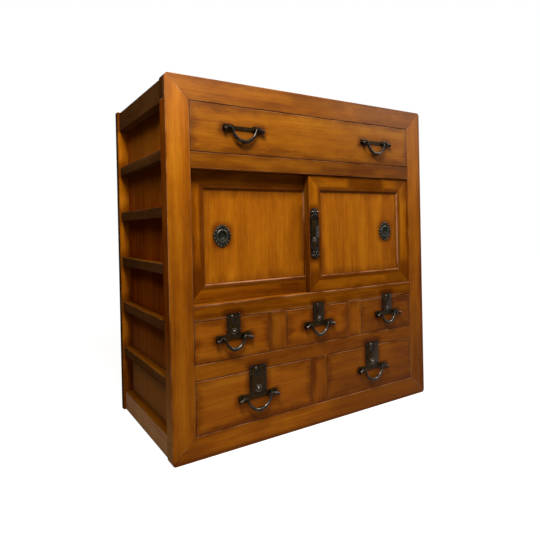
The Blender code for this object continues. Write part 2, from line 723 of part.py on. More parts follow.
def door_panel_mesh(width, height, pull_x, pull_z):
    """Panel held in the frame's groove, with a round hole for the finger pull's cup."""
    inset = DOOR_MEMBER - DOOR_PANEL_TONGUE
    half = width / 2 - inset
    back = DOOR_PANEL_RECESS + DOOR_PANEL_THICK
    panel = boxes(((-half, DOOR_PANEL_RECESS, inset), (half, back, height - inset)))
    bore = (PULL_CUP_RADIUS + PULL_WALL + JOINT_GAP) / cos(pi / PULL_SIDES)
    hole = prism(circle(bore, PULL_SIDES, pull_x, pull_z), "Y", 0, DOOR_THICK)
    return cut(panel, hole)


def pull_mesh(x, z):
    """Finger pull: lobed rim on the panel, a raised ring, and a cup that goes through the panel."""
    seat = DOOR_PANEL_RECESS - JOINT_GAP
    front = seat - PULL_RIM_THICK
    ring = front - PULL_RING_HEIGHT + PULL_RIM_THICK
    floor = seat + PULL_CUP_DEPTH
    back = floor + PULL_WALL
    outer_cup = PULL_CUP_RADIUS + PULL_WALL
    shoulder = PULL_RING_RADIUS + PULL_RIM_THICK
    profile = [(PULL_FLOOR_RADIUS, floor), (PULL_BELLY_RADIUS, floor - PULL_WALL),
               (PULL_CUP_RADIUS, ring + PULL_WALL), (PULL_RING_RADIUS - PULL_WALL, ring),
               (PULL_RING_RADIUS, ring), (shoulder, front)]
    rings = [[(x + px, y, z + pz) for px, pz in circle(radius, PULL_SIDES)] for radius, y in profile]
    rings.append(lobed_ring(x, z, front))
    rings.append(lobed_ring(x, z, seat))
    for radius, y in ((outer_cup, seat), (outer_cup, back)):
        rings.append([(x + px, y, z + pz) for px, pz in circle(radius, PULL_SIDES)])
    return loft(rings)


def lobed_ring(x, z, y):
    """Outline of the finger pull: an upright oval with shallow lobes."""
    ring = []
    for i in range(PULL_SIDES):
        angle = 2 * pi * i / PULL_SIDES
        lobe = PULL_LOBE_DEPTH * cos(PULL_LOBES * angle)
        ring.append((x + (PULL_WIDTH / 2 - PULL_LOBE_DEPTH + lobe) * cos(angle), y,
                     z + (PULL_HEIGHT / 2 - PULL_LOBE_DEPTH + lobe) * sin(angle)))
    return ring


def door_lock_mesh(x, z):
    """Long plate with lobed, pointed ends, a raised bolt and a domed boss."""
    half = DOOR_LOCK_WIDTH / 2
    end = DOOR_LOCK_HEIGHT / 2
    neck = end - DOOR_LOCK_LOBE
    corner = [(half, neck - DOOR_LOCK_WAIST), (half - DOOR_LOCK_WAIST, neck)]
    for i in range(DOOR_LOCK_STEPS):
        angle = pi / 2 * i / DOOR_LOCK_STEPS
        corner.append(((half - DOOR_LOCK_WAIST / 3) * cos(angle), neck + DOOR_LOCK_WAIST
                       + (DOOR_LOCK_LOBE - DOOR_LOCK_WAIST) * sin(angle)))
    right_up = corner + [(0, end)]
    left_up = [(-px, pz) for px, pz in reversed(corner)]
    upper = right_up + left_up
    lower = [(-px, -pz) for px, pz in upper]
    outline = [(x + px, z + pz) for px, pz in upper + lower]
    face = -JOINT_GAP - LOCK_THICK
    plate = prism(outline, "Y", face, -JOINT_GAP)
    sunk = face + LOCK_THICK / 2
    bolt_width, bolt_height, bolt_rise = DOOR_LOCK_BOLT
    bolt_x = x + half - DOOR_LOCK_WAIST - bolt_width / 2
    bolt_z = z + DOOR_LOCK_BOLT_RISE
    plate = join(plate, boxes(((bolt_x - bolt_width / 2, face - bolt_rise, bolt_z - bolt_height / 2),
                               (bolt_x + bolt_width / 2, sunk, bolt_z + bolt_height / 2))))
    boss_z = bolt_z - bolt_height / 2 - LOCK_BOSS_RADIUS
    boss_x = x - DOOR_LOCK_BOSS_SHIFT
    return join(plate, dome(LOCK_BOSS_RADIUS, LOCK_BOSS_HEIGHT, sunk, face, boss_x, boss_z))


def build_chest():
    clear_scene()
    frame_wood = finish("frame_wood", (0.42, 0.18, 0.035), 0.38)
    ladder_wood = finish("ladder_wood", (0.16, 0.065, 0.018), 0.48)
    panel_wood = finish("panel_wood", (0.44, 0.19, 0.03), 0.40)
    inner_wood = finish("inner_wood", (0.50, 0.32, 0.16), 0.65)
    iron = finish("iron", (0.045, 0.035, 0.028), 0.45, 0.85)

    chest = empty("chest", (0, FRONT_FACE, 0))
    add_stiles(chest, frame_wood)
    add_end_rails(chest, frame_wood)
    add_cross_rails(chest, frame_wood)
    add_dividers(chest, frame_wood)
    add_sides(chest, ladder_wood, panel_wood)
    add_back_and_top(chest, ladder_wood, panel_wood)
    add_decks(chest, inner_wood)
    for row in drawer_rows():
        add_drawer(chest, row, panel_wood, inner_wood, iron)
    add_doors(chest, frame_wood, panel_wood, iron)


build_chest()
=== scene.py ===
"""Looks of a merchant's chest: amber lacquered wood with worn arrises, and blackened iron fittings.

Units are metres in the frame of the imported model: x to the right, y to the back, z up from the floor.
"""

import json
from math import cos, pi, radians, sin

import bmesh
import bpy
from mathutils import Matrix, Vector, noise


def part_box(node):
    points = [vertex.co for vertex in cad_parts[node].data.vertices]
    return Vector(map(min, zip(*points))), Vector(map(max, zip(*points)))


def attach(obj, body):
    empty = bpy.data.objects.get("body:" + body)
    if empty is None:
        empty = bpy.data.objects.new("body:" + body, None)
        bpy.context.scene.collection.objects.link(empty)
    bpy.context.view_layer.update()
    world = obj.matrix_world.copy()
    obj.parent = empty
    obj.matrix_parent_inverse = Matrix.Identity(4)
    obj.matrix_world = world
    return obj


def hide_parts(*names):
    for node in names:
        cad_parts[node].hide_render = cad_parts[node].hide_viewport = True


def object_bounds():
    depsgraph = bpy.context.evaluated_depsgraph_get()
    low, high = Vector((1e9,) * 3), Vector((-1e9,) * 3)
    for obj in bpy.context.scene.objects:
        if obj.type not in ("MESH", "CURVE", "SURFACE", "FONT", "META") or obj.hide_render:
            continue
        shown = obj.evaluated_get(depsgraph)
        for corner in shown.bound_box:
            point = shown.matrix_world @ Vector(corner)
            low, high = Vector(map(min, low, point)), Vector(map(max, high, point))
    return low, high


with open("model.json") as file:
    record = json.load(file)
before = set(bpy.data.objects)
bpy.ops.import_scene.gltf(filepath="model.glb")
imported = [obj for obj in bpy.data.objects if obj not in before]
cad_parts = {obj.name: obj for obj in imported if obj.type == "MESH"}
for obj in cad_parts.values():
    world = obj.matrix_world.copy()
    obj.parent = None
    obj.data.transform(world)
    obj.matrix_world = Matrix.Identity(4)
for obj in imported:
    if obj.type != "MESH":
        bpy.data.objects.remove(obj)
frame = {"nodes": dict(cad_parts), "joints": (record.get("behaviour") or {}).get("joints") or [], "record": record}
CAD_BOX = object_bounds()
WHOLE = tuple(Vector(corner) for corner in CAD_BOX)
NODES = frame["nodes"]
BODIES = frame["record"]["behaviour"]["bodies"]

# Camera, matched to the photographed corners of the carcass. Angles are in degrees.
CAMERA_PLACE = (-0.78688, -1.22157, 0.54192)
CAMERA_YAW = 32.177
CAMERA_PITCH = -0.343
CAMERA_ROLL = -1.228
CAMERA_LENS = 30.909
CAMERA_SENSOR = 36.0
CAMERA_RISE = -0.0734

# Light: two soft lamps above the front, and an even dim room. White is what the camera sees of the room.
LAMPS = {"key": ((-0.55, -0.78, 1.52), 16.5), "fill": ((1.02, -0.82, 1.36), 6.0)}
LAMP_TARGET = (0.0, -0.2, 0.5)
LAMP_WIDTH = 0.5
LAMP_DEPTH = 0.36
LAMP_COLOUR = (1.0, 0.96, 0.90)
ROOM_COLOUR = (1.0, 0.90, 0.80)
ROOM_STRENGTH = 0.066
FLOOR_SIZE = 14.0
FLOOR_DROP = 0.0005
FLOOR_COLOUR = (0.50, 0.48, 0.455)
FLOOR_SHADE = 0.97
FLOOR_GLOW = 0.92
FLOOR_WHITE_FROM = 2.4

# Wood tones, each from the darkest line of the grain to the lightest.
AMBER = ((0.215, 0.050, 0.0014), (0.335, 0.092, 0.0022), (0.430, 0.132, 0.0036), (0.540, 0.195, 0.0100))
RUSSET = ((0.200, 0.037, 0.0012), (0.310, 0.064, 0.0020), (0.400, 0.092, 0.0034), (0.500, 0.136, 0.0090))
BROWN = ((0.075, 0.026, 0.0060), (0.120, 0.044, 0.0110), (0.165, 0.064, 0.0180), (0.240, 0.100, 0.0320))
BARE = ((0.300, 0.180, 0.0850), (0.420, 0.270, 0.1400), (0.500, 0.340, 0.1900), (0.580, 0.420, 0.2600))
PALE = ((0.400, 0.190, 0.0800), (0.540, 0.270, 0.1200), (0.620, 0.330, 0.1550), (0.700, 0.410, 0.2100))
GOLD = tuple((red, green * 1.05, blue) for red, green, blue in AMBER)
COPPER = tuple((red, green * 0.93, blue) for red, green, blue in AMBER)
TONE_STOPS = (0.32, 0.45, 0.55, 0.68)

# Boards that are lighter, darker or of another tint than the others of their kind.
OWN_TONES = {"front_top_rail": 0.82, "front_bottom_rail": 1.24, "upper_cross_rail": 0.70,
             "middle_cross_rail": 1.10, "top_drawer_front": 0.92, "small_drawer_middle_front": 1.06,
             "small_drawer_right_front": 0.80, "large_drawer_right_front": 0.92, "small_divider_left": 0.82}
OWN_TINTS = {"top_drawer_front": GOLD}
# Front frame flanks: a stile's sides darker and redder than its front, painted shade; a rail's ends, end grain in
# that shade.
SHADED_STILE_FLANK = (RUSSET, 0.86)
SHADED_END_GRAIN_FLANK = (BROWN, 0.70)

# Figure of the wood: features per metre along the grain and across it, the shift of the seed, and then the
# detail, roughness and distortion of the noise. Seeds of neighbouring boards lie a step apart.
GRAIN_NOISES = {
    "streak": (1.3, 38.0, 0, 4.0, 0.52, 0.4),
    "fibre": (7.0, 260.0, 3, 3.0, 0.60, 0.0),
    "pore": (45.0, 1500.0, 5, 1.0, 0.50, 0.0),
    "mottle": (11.0, 34.0, 9, 3.0, 0.60, 0.0),
    "blotch": (2.2, 6.5, 7, 2.0, 0.50, 0.0),
}
RING_FIGURE = {"Scale": 8.0, "Distortion": 6.0, "Detail": 2.0, "Detail Scale": 0.6}
RING_STRETCH = (0.10, 1.0)
RING_START = 0.09
RING_SHIFT = 0.01
TONE_WEIGHTS = {"streak": 0.22, "mottle": 0.25, "fibre": 0.29, "ring": 0.05, "blotch": 0.34}
SEED_STEP = 5.37
CROSS_SEED_STEP = 6.11

# Colours laid over the wood.
PORE_COLOUR = (0.55, 0.45, 0.38, 1.0)
END_GRAIN_COLOUR = (0.42, 0.40, 0.42, 1.0)
HALO_COLOUR = (0.36, 0.285, 0.20, 1.0)
# Paler low on the sides: dust, and painted light bounced from the floor.
DUST_AND_BOUNCE_COLOUR = (0.61, 0.31, 0.095, 1.0)
# Painted light from above: the upper part of a side panel more orange and lighter.
TOP_LIGHT_COLOUR = (0.66, 0.28, 0.03, 1.0)
# Painted sheen: the pale veil laid high on the front and towards its ends.
PAINTED_SHEEN_COLOUR = (0.66, 0.50, 0.40, 1.0)
SPECK_COLOUR = (0.06, 0.02, 0.006, 1.0)
WEAR_COLOUR = (0.60, 0.29, 0.14, 1.0)

# Steps: while a value runs between the first two levels, the result runs from the third number to the fourth.
# The value is a noise, a height, a distance or the lean of a face.
PORES = (0.56, 0.74, 0.0, 0.55)
END_GRAIN = (0.75, 0.95, 0.0, 0.85)
HALO = (0.0, 0.026, 1.0, 0.0)
SEAM = (0.0, 0.0055, 0.70, 0.0)
# Painted shade where a door panel goes into the groove of its frame.
PAINTED_GROOVE_SHADE = (0.0005, 0.0045, 0.9, 0.0)
# Painted shade on a door frame's rounded inner edge, round the panel.
PAINTED_OPENING_SHADE = (0.002, 0.011, 0.85, 0.0)
# Dust and painted floor bounce, fullest at the floor and gone by the second level.
DUST_AND_BOUNCE = (0.0, 0.34, 0.66, 0.0)
# Painted light from above on the sides, rising with height.
TOP_LIGHT = (0.52, 0.82, 0.0, 0.36)
# Painted sheen, by the height of a place on the front and how far out it lies.
PAINTED_SHEEN = (0.80, 1.12, 0.0, 0.06)
SPECK = (0.020, 0.034, 1.0, 0.0)
WORN_PATCHES = (0.38, 0.62, 0.05, 1.0)
# Wear by how far a face leans up: wear of the arrises with a painted highlight from above.
OPENING_WEAR_AND_HIGHLIGHT_SLOPE = (0.1, 0.8, 0.05, 1.0)
FRAME_WEAR_AND_HIGHLIGHT_SLOPE = (-0.6, 0.5, 0.2, 1.0)
BOARD_WEAR_AND_HIGHLIGHT_SLOPE = (-0.3, 0.5, 0.15, 1.0)
WOOD_SHEEN = (0.3, 0.7, 0.34, 0.46)

# How far blotches and mottle make the dark edges and marks stray, and other details of the marks.
HALO_WANDER = 0.035
HALO_RAGGED = 0.045
SEAM_RAGGED = 0.012
# How far blotches make the painted shade round a door's opening stray.
PAINTED_OPENING_SHADE_WANDER = 0.008
MARK_WANDER = 0.9
MARK_CORE = 0.05
# How much further out and to the right the painted sheen reaches.
PAINTED_SHEEN_OUTWARD = 0.50
PAINTED_SHEEN_RIGHTWARD = 0.15
SPECK_SCALE = 26.0
SPECK_RARITY = 0.90
SPECK_DEPTH = 0.8

# Worn arrises: how bare they are, how far the wear reaches, and how they and the front's corners are rounded.
BOARD_WEAR = 0.75
FRAME_WEAR = 0.85
DOOR_WEAR = 0.95
LADDER_WEAR = 0.5
WEAR_START = 0.0003
WEAR_REACH = 0.0018
RIDGE_SHARE = 0.6
# A painted highlight on arrises that look left: how far they lean that way, and its strength on each door.
PAINTED_GLINT_LEANS = (0.20, 0.65)
DOOR_PAINTED_GLINTS = {"left": 0.28, "right": 0.75}
ARRIS = 0.0011
OWN_ARRISES = {"door_sill_rail": 0.0024}
ARRIS_SEGMENTS = 3
SHORTEST_ARRIS = 0.006
CORNER_RADIUS = 0.010
CORNER_CUTS = (22.5, 45.0, 67.5)

# Gloss and relief of the wood. The finish of the door sill is its wear, gloss and reach of wear.
FRONT_GLOSS = 0.07
SIDE_GLOSS = 0.0
DOOR_GLOSS = 0.02
SILL_FINISH = (1.0, DOOR_GLOSS, 0.0065)
DARK_SHEEN = 0.12
FIBRE_RELIEF = 0.7
PORE_RELIEF = 0.4
WOOD_BUMP = 0.25
WOOD_RELIEF = 0.0004

# Dark marks on the front as (x, z, half width, half height, reach, depth); some darken the foot, the right edge
# and the lower right.
SMUDGES = ((0.02, 0.885, 0.080, 0.005, 0.030, 0.45), (0.22, 0.875, 0.070, 0.004, 0.025, 0.35),
           (0.12, 0.700, 0.090, 0.003, 0.022, 0.50), (-0.17, 0.212, 0.060, 0.004, 0.020, 0.40),
           (0.28, 0.250, 0.100, 0.020, 0.040, 0.35), (0.40, 0.040, 0.060, 0.050, 0.160, 0.45),
           (-0.40, 0.000, 0.030, 0.020, 0.060, 0.25), (0.25, 0.010, 0.150, 0.030, 0.160, 0.62),
           (0.00, -0.002, 0.430, 0.005, 0.016, 0.95), (0.43, 0.450, 0.005, 0.450, 0.016, 0.75))
DOOR_UPRIGHT_SMUDGES = (
    (-0.348, 0.380, 0.022, 0.045, 0.060, 0.95), (0.000, 0.370, 0.018, 0.035, 0.040, 0.85),
    (0.350, 0.380, 0.018, 0.030, 0.045, 0.80), (0.362, 0.660, 0.004, 0.022, 0.050, 0.75))
DOOR_RAIL_SMUDGES = (
    (-0.075, 0.380, 0.018, 0.020, 0.022, 0.60), (0.190, 0.664, 0.055, 0.012, 0.030, 0.85),
    (-0.090, 0.655, 0.100, 0.010, 0.040, 0.45), (0.310, 0.380, 0.030, 0.012, 0.030, 0.50),
    (0.350, 0.675, 0.010, 0.010, 0.050, 0.65))

# Marks that hands left round the fittings. A tuple ends with the reach and the depth of the mark.
STAIN = (0.026, 1.0)
LOCK_STAIN_INSET = 0.002
PULL_STAIN_SHARE = 0.5
GRIP = (0.022, 0.55)
GRIP_DROP = 0.004
GRIP_INSET = (0.008, 0.006)
GRIP_END = (0.008, 0.004, 0.022, 1.0)
GRIP_END_DROP = 0.003
GRIP_END_INSET = 0.009

# Painted shadow under the top rail and battens of the side panels, and darkening on the rear posts (dirt and
# painted shade at the battens), as half height, reach and depth. At the head of a post the height is that of the
# rail.
BATTEN_SHADOW_HEIGHT = 0.020
BATTEN_SHADOW = (BATTEN_SHADOW_HEIGHT / 2, 0.030, 1.0)
POST_DIRT_AND_SHADE = (0.014, 0.045, 0.9)
POST_FOOT_DARKENING = (0.09, 0.12, 0.95)
POST_HEAD_DARKENING = (0.016, 1.0)
ALL_ACROSS = 1.0

# Iron: three tones dark to light, roughness, metal, upper side's colour (rubbing, painted highlight), relief.
IRONS = {
    "black_iron": (((0.008, 0.0052, 0.0034), (0.016, 0.0105, 0.0070), (0.028, 0.0190, 0.0130)),
                   0.30, 1.0, (0.034, 0.026, 0.019), 0.0006),
    "plate_iron": (((0.015, 0.0084, 0.0030), (0.022, 0.0120, 0.0042), (0.031, 0.0175, 0.0065)),
                   0.36, 1.0, None, 0.0003),
    "worn_iron": (((0.012, 0.0082, 0.0056), (0.021, 0.0148, 0.0105), (0.034, 0.0250, 0.0180)),
                  0.22, 1.0, (0.125, 0.107, 0.090), 0.0001),
    "bright_iron": (((0.034, 0.0270, 0.0220), (0.064, 0.0540, 0.0450), (0.110, 0.0960, 0.0820)),
                    0.20, 1.0, (0.24, 0.215, 0.19), 0.0001),
    "pewter": (((0.012, 0.0108, 0.0076), (0.021, 0.0190, 0.0140), (0.034, 0.0320, 0.0250)),
               0.30, 1.0, (0.045, 0.042, 0.034), 0.0006),
    "green_patina": (((0.010, 0.0105, 0.0060), (0.027, 0.0290, 0.0170), (0.060, 0.0640, 0.0410)),
                     0.45, 0.0, None, 0.0006),
}
IRON_STOPS = (0.38, 0.52, 0.66)
IRON_PATCHES = 70.0
IRON_PITS = 900.0
IRON_GLOSS = 0.2
IRON_BUMP = 0.35
RUBBED_AND_LIT_LEANS = (0.05, 0.95)

# Handles, with the main sizes of the solids. A handle is (eye to eye, drop of the bail's middle line), and a
# nail is (radius, height).
LARGE_HANDLE = (0.080, 0.033)
SMALL_HANDLE = (0.064, 0.028)
JOINT_GAP = 0.0003
BAR_RADIUS = 0.0054
BAR_TAPER = 1.2
BAR_SIDES = 16
NECK_RADIUS = 0.0024
NECK_MARGIN = 0.0024
FLARE_RADIUS = 0.0056
FLARE_LENGTH = 0.0125
FLARE_TILT = 0.40
FLARE_CURVE = 1.35
FLARE_SHARES = (0.15, 0.3, 0.45, 0.6, 0.75, 0.9, 0.97)
FLARE_LIP = ((1.0, 0.93), (1.0, 0.72), (0.93, 0.5), (0.91, 0.1))
BOW_STEPS = 22
BOW_ROUNDNESS = 0.56
BOW_SHOULDER = 0.90
BOW_SIDE = 0.48
HAMMER_DEPTH = 0.03
HAMMER_SCALE = 160
EYE_WIDTH = 0.0050
EYE_BORE = 0.0027
EYE_RADIUS = 0.0049
EYE_WIRE_SIDES = 10
PLATE_THICK = 0.0016
PLATE_CHAMFER = 0.0005
STRIP_HEIGHT = 0.009
STRIP_END_HEIGHT = 0.018
STRIP_END_INNER = 0.009
STRIP_END_OUTER = 0.0165
STRIP_END_CORNER = 0.0045
STRIP_SLOPE = 0.003
NAIL_INSET = 0.0040
NAIL = (0.0020, 0.0012)

# Finger pulls. The plate is (inset, reach) points, lip and cup (radius, reach), and a bead (radius, height).
PULL_SPREAD = 0.0010
PULL_LOBE = 0.0011
PULL_SCALLOP = 0.0006
PULL_SIDES = 96
PULL_PLATE = ((0.0, 0.0), (0.0, 0.0011), (0.0006, 0.0017), (0.0026, 0.0020))
PULL_LIP = ((0.0170, 0.0020), (0.0163, 0.0031), (0.0150, 0.0037), (0.0136, 0.0034), (0.0126, 0.0024))
CUP_BACK = ((0.0, -0.0102), (0.0128, -0.0102), (0.0137, -0.0093), (0.0137, 0.0))
CUP_INSIDE = 0.0120
CUP_MOUTH = 0.0008
BOWL_DEPTH = 0.0096
BOWL_STEPS = 7
BEAD_COUNT = 16
BEAD_INSET = 0.0024
BEAD_SEAT = 0.0017
BEAD = (0.0017, 0.0014)

# Locks. A stud is (radius, height), and the knob is turned from (radius, reach) points.
LOCK_THICK = 0.002
LOCK_CHAMFER = 0.0006
LOCK_SINK = 0.0002
STUD = (0.0018, 0.0012)
DOOR_LOCK_LOBE = 0.019
DOOR_LOCK_NOTCH = 0.0032
DOOR_KNOB = ((0.0066, -0.0004), (0.0066, 0.0008), (0.0045, 0.0016), (0.0040, 0.0028), (0.0052, 0.0036),
             (0.0050, 0.0044), (0.0032, 0.0050), (0.0, 0.0052))

# Doors and sides, with the members, tongues and battens of the solids.
DOOR_MEMBER = 0.043
DOOR_BEVEL_WIDTH = 0.008
DOOR_BEVEL_DEPTH = 0.005
DOOR_EDGE_FULLNESS = 0.62
DOOR_EDGE_STEPS = 5
DOOR_ARRIS = 0.0008
DOOR_PANEL_RECESS = 0.006
DOOR_THICK = 0.020
MITRE_GAP = 0.00015
FLANK_MARGIN = 0.002
TONGUE_SETBACK = 0.007
TONGUE_THICK = 0.008
TONGUE_ROOT = 0.001
TONGUE_END = 0.002
LOWER_TONGUE = 0.0035
UPPER_TONGUE = 0.008
PANEL_TONGUE = 0.006
SIDE_RAIL_HEIGHT = 0.054
FOOT_MARGIN = 0.004
BATTEN_COUNT = 5
BATTEN_HEIGHT = 0.025
REAR_THICK = 0.020
POST_MARGIN = 0.0005

# A face looks along an axis if that part of its normal is above the first value, and leans that way if it is
# above the second.
SQUARE = 0.8
LEANING = 0.3

# Edges are shaded sharp above these angles, in degrees.
WOOD_SHARP = 50.0
BAIL_SHARP = 50.0
IRON_SHARP = 40.0


class Nodes:
    """Writes a node tree: each call adds one node or a few, and gives back an output."""

    def __init__(self, tree):
        self.tree = tree

    def add(self, kind, inputs, output=0, **settings):
        node = self.tree.nodes.new(kind)
        for name, value in settings.items():
            setattr(node, name, value)
        for socket, value in inputs.items():
            if isinstance(value, bpy.types.NodeSocket):
                self.tree.links.new(value, node.inputs[socket])
            else:
                node.inputs[socket].default_value = value
        return node.outputs[output]

    def math(self, operation, a, b=0.0):
        return self.add("ShaderNodeMath", {0: a, 1: b}, operation=operation)

    def plus(self, a, b):
        return self.math("ADD", a, b)

    def minus(self, a, b):
        return self.math("SUBTRACT", a, b)

    def times(self, a, b):
        return self.math("MULTIPLY", a, b)

    def most(self, a, b):
        return self.math("MAXIMUM", a, b)

    def least(self, a, b):
        return self.math("MINIMUM", a, b)

    def sway(self, value, amount):
        """A noise about its middle, as a swing to either side."""
        return self.times(self.minus(value, 0.5), amount)

    def join(self, output, node, socket):
        """Join an output to a node that the tree has from the start."""
        self.tree.links.new(output, self.tree.nodes[node].inputs[socket])

    def vector(self, operation, a, b=(0.0, 0.0, 0.0), output=0):
        return self.add("ShaderNodeVectorMath", {0: a, 1: b}, output, operation=operation)

    def split(self, vector):
        """The x, y and z of a vector."""
        return self.add("ShaderNodeSeparateXYZ", {0: vector}).node.outputs

    def spread(self, value, low, high, start=0.0, end=1.0):
        """Smooth step of a value from low to high, as start to end."""
        inputs = {"Value": value, "From Min": low, "From Max": high, "To Min": start, "To Max": end}
        return self.add("ShaderNodeMapRange", inputs, interpolation_type="SMOOTHSTEP")

    def noise(self, place, scale, detail=2.0, roughness=0.5, distortion=0.0):
        inputs = {"Vector": place, "Scale": scale, "Detail": detail, "Roughness": roughness,
                  "Distortion": distortion}
        return self.add("ShaderNodeTexNoise", inputs)

    def blend(self, factor, first, second, kind="MIX"):
        inputs = {0: factor, 6: first, 7: second}
        return self.add("ShaderNodeMix", inputs, 2, data_type="RGBA", blend_type=kind)

    def ramp(self, value, stops):
        """Colours at places along a value."""
        node = self.tree.nodes.new("ShaderNodeValToRGB")
        elements = node.color_ramp.elements
        while len(elements) < len(stops):
            elements.new(1.0)
        for element, (place, colour) in zip(elements, stops):
            element.position = place
            element.color = (*colour, 1.0)
        self.tree.links.new(value, node.inputs["Fac"])
        return node.outputs["Color"]


def new_material(name):
    """A material with an empty shader, its node writer, and the place on the piece."""
    material = bpy.data.materials.new(name)
    material.use_nodes = True
    nodes = Nodes(material.node_tree)
    place = nodes.add("ShaderNodeTexCoord", {}, "Object")
    return material, nodes, place, material.node_tree.nodes["Principled BSDF"]


def set_surface(nodes, colour, roughness, relief, bump, depth):
    """Join the colour, roughness and relief of a surface to its shader."""
    normal = nodes.add("ShaderNodeBump", {"Height": relief, "Strength": bump, "Distance": depth})
    for socket, source in (("Base Color", colour), ("Roughness", roughness), ("Normal", normal)):
        nodes.join(source, "Principled BSDF", socket)


def with_grain(nodes, place, grain, seed, along, across):
    """Place stretched along the grain's axis, moved by a seed so that no two boards are alike."""
    scale = [across] * 3
    scale["XYZ".index(grain)] = along
    shift = (seed, seed * 1.7, seed * 2.3)
    return nodes.add("ShaderNodeMapping", {"Vector": place, "Location": shift, "Scale": scale})


def wood_figure(nodes, place, grain, seed):
    """Noises of a board's grain, and its growth rings."""
    figure = {}
    for name, (along, across, shift, *quality) in GRAIN_NOISES.items():
        stretched = with_grain(nodes, place, grain, seed + shift, along, across)
        figure[name] = nodes.noise(stretched, 1.0, *quality)
    turned = with_grain(nodes, place, grain, RING_START + seed * RING_SHIFT, *RING_STRETCH)
    figure["ring"] = nodes.add("ShaderNodeTexWave", {"Vector": turned, **RING_FIGURE}, 1, wave_type="RINGS",
                               rings_direction=grain)
    return figure


def wood_colour(nodes, figure, tones, tone):
    """Colour of the grain, with dark pores."""
    value = 0.5
    for name, weight in TONE_WEIGHTS.items():
        value = nodes.plus(nodes.sway(figure[name], weight), value)
    shades = [tuple(channel * tone for channel in colour) for colour in tones]
    colour = nodes.ramp(value, list(zip(TONE_STOPS, shades)))
    return nodes.blend(nodes.spread(figure["pore"], *PORES), colour, PORE_COLOUR, "MULTIPLY")


def insets(nodes, place, box):
    """Distances inwards from the sides of a box, along x, y and z."""
    low, high = box
    offset = nodes.vector("ABSOLUTE", nodes.vector("SUBTRACT", place, (low + high) / 2))
    return nodes.split(nodes.vector("SUBTRACT", (high - low) / 2, offset))


def edge_distance(nodes, place, box):
    """Distance from a board's surface to the nearest arris of its box: the middle one of the three insets."""
    x, y, z = insets(nodes, place, box)
    return nodes.most(nodes.least(x, y), nodes.least(nodes.most(x, y), z))


def mitre_distance(nodes, place):
    """Distance to the mitres of the front frame, which run inwards from the corners of the whole chest."""
    x, _, z = insets(nodes, place, WHOLE)
    return nodes.times(nodes.math("ABSOLUTE", nodes.minus(x, z)), 0.5 ** 0.5)


def opening_distance(nodes, place, box):
    """Distance outwards from the edge of a rectangular opening in a frame."""
    x, _, z = insets(nodes, place, box)
    return nodes.times(nodes.least(x, z), -1.0)


def stain_mask(nodes, place, stains, wander):
    """Dark marks: each is deepest over its own rectangle and fades out over its reach."""
    mask = None
    for x, z, half_x, half_z, reach, depth in stains:
        offset = nodes.vector("ABSOLUTE", nodes.vector("SUBTRACT", place, (x, 0.0, z)))
        beyond = nodes.vector("MAXIMUM", nodes.vector("SUBTRACT", offset, (half_x, 0.0, half_z)))
        scaled = nodes.vector("MULTIPLY", beyond, (1 / reach, 0.0, 1 / reach))
        distance = nodes.plus(nodes.vector("LENGTH", scaled, output="Value"), wander)
        mark = nodes.spread(distance, MARK_CORE, 1.0, depth, 0.0)
        mask = mark if mask is None else nodes.most(mask, mark)
    return mask


def painted_sheen_mask(nodes, place):
    """Painted sheen: a pale veil high on the front, and more so towards its ends."""
    x, _, z = nodes.split(place)
    outward = nodes.times(nodes.math("ABSOLUTE", x), PAINTED_SHEEN_OUTWARD)
    level = nodes.plus(nodes.plus(z, outward), nodes.times(x, PAINTED_SHEEN_RIGHTWARD))
    return nodes.spread(level, *PAINTED_SHEEN)


def speck_mask(nodes, place):
    """Small dents and spots, in a few cells of a scatter."""
    cells = nodes.add("ShaderNodeTexVoronoi", {"Vector": place, "Scale": SPECK_SCALE}, "Distance")
    chance = nodes.add("ShaderNodeSeparateColor", {0: cells.node.outputs["Color"]})
    near = nodes.spread(cells, *SPECK)
    speck = nodes.times(near, nodes.math("GREATER_THAN", chance, SPECK_RARITY))
    return nodes.times(speck, SPECK_DEPTH)


def darkness(nodes, place, figure, edge, halo, stains, inner, shaded_groove):
    """How dark a place is: by the arrises and seams, in dark marks, and by painted shade along a groove and round
    an opening.
    """
    wander = nodes.sway(figure["blotch"], MARK_WANDER)
    ragged = nodes.plus(edge, nodes.times(wander, HALO_WANDER))
    ragged = nodes.plus(ragged, nodes.sway(figure["mottle"], HALO_RAGGED))
    dark = nodes.times(nodes.spread(ragged, *HALO), halo)
    seam = nodes.plus(edge, nodes.sway(figure["mottle"], SEAM_RAGGED))
    dark = nodes.most(dark, nodes.spread(seam, *SEAM))
    # Painted shade where the panel goes into its frame's groove.
    if shaded_groove:
        dark = nodes.most(dark, nodes.spread(edge, *PAINTED_GROOVE_SHADE))
    if stains:
        dark = nodes.most(dark, stain_mask(nodes, place, stains, wander))
    # Painted shade on the frame's rounded inner edge, round the opening.
    if inner is not None:
        stray = nodes.plus(inner, nodes.times(wander, PAINTED_OPENING_SHADE_WANDER))
        dark = nodes.most(dark, nodes.spread(stray, *PAINTED_OPENING_SHADE))
    return dark


def bareness(nodes, facing, mottle, edge, slope, reach, wear, painted_glint):
    """How bare the wood looks: worn patches near an arris, fuller where a face leans up, which is wear with a
    painted highlight from above, and a painted highlight on faces that look left.
    """
    x, _, z = nodes.split(facing)
    lean = nodes.spread(z, *slope)
    # Painted highlight on edges that face left.
    if painted_glint:
        lean = nodes.most(lean, nodes.spread(nodes.times(x, -1.0), *PAINTED_GLINT_LEANS, 0.0, painted_glint))
    rubbed = nodes.spread(mottle, *WORN_PATCHES)
    if edge is not None:
        rubbed = nodes.times(nodes.spread(edge, WEAR_START, reach, 1.0, 0.0), rubbed)
    return nodes.times(nodes.times(rubbed, lean), wear)


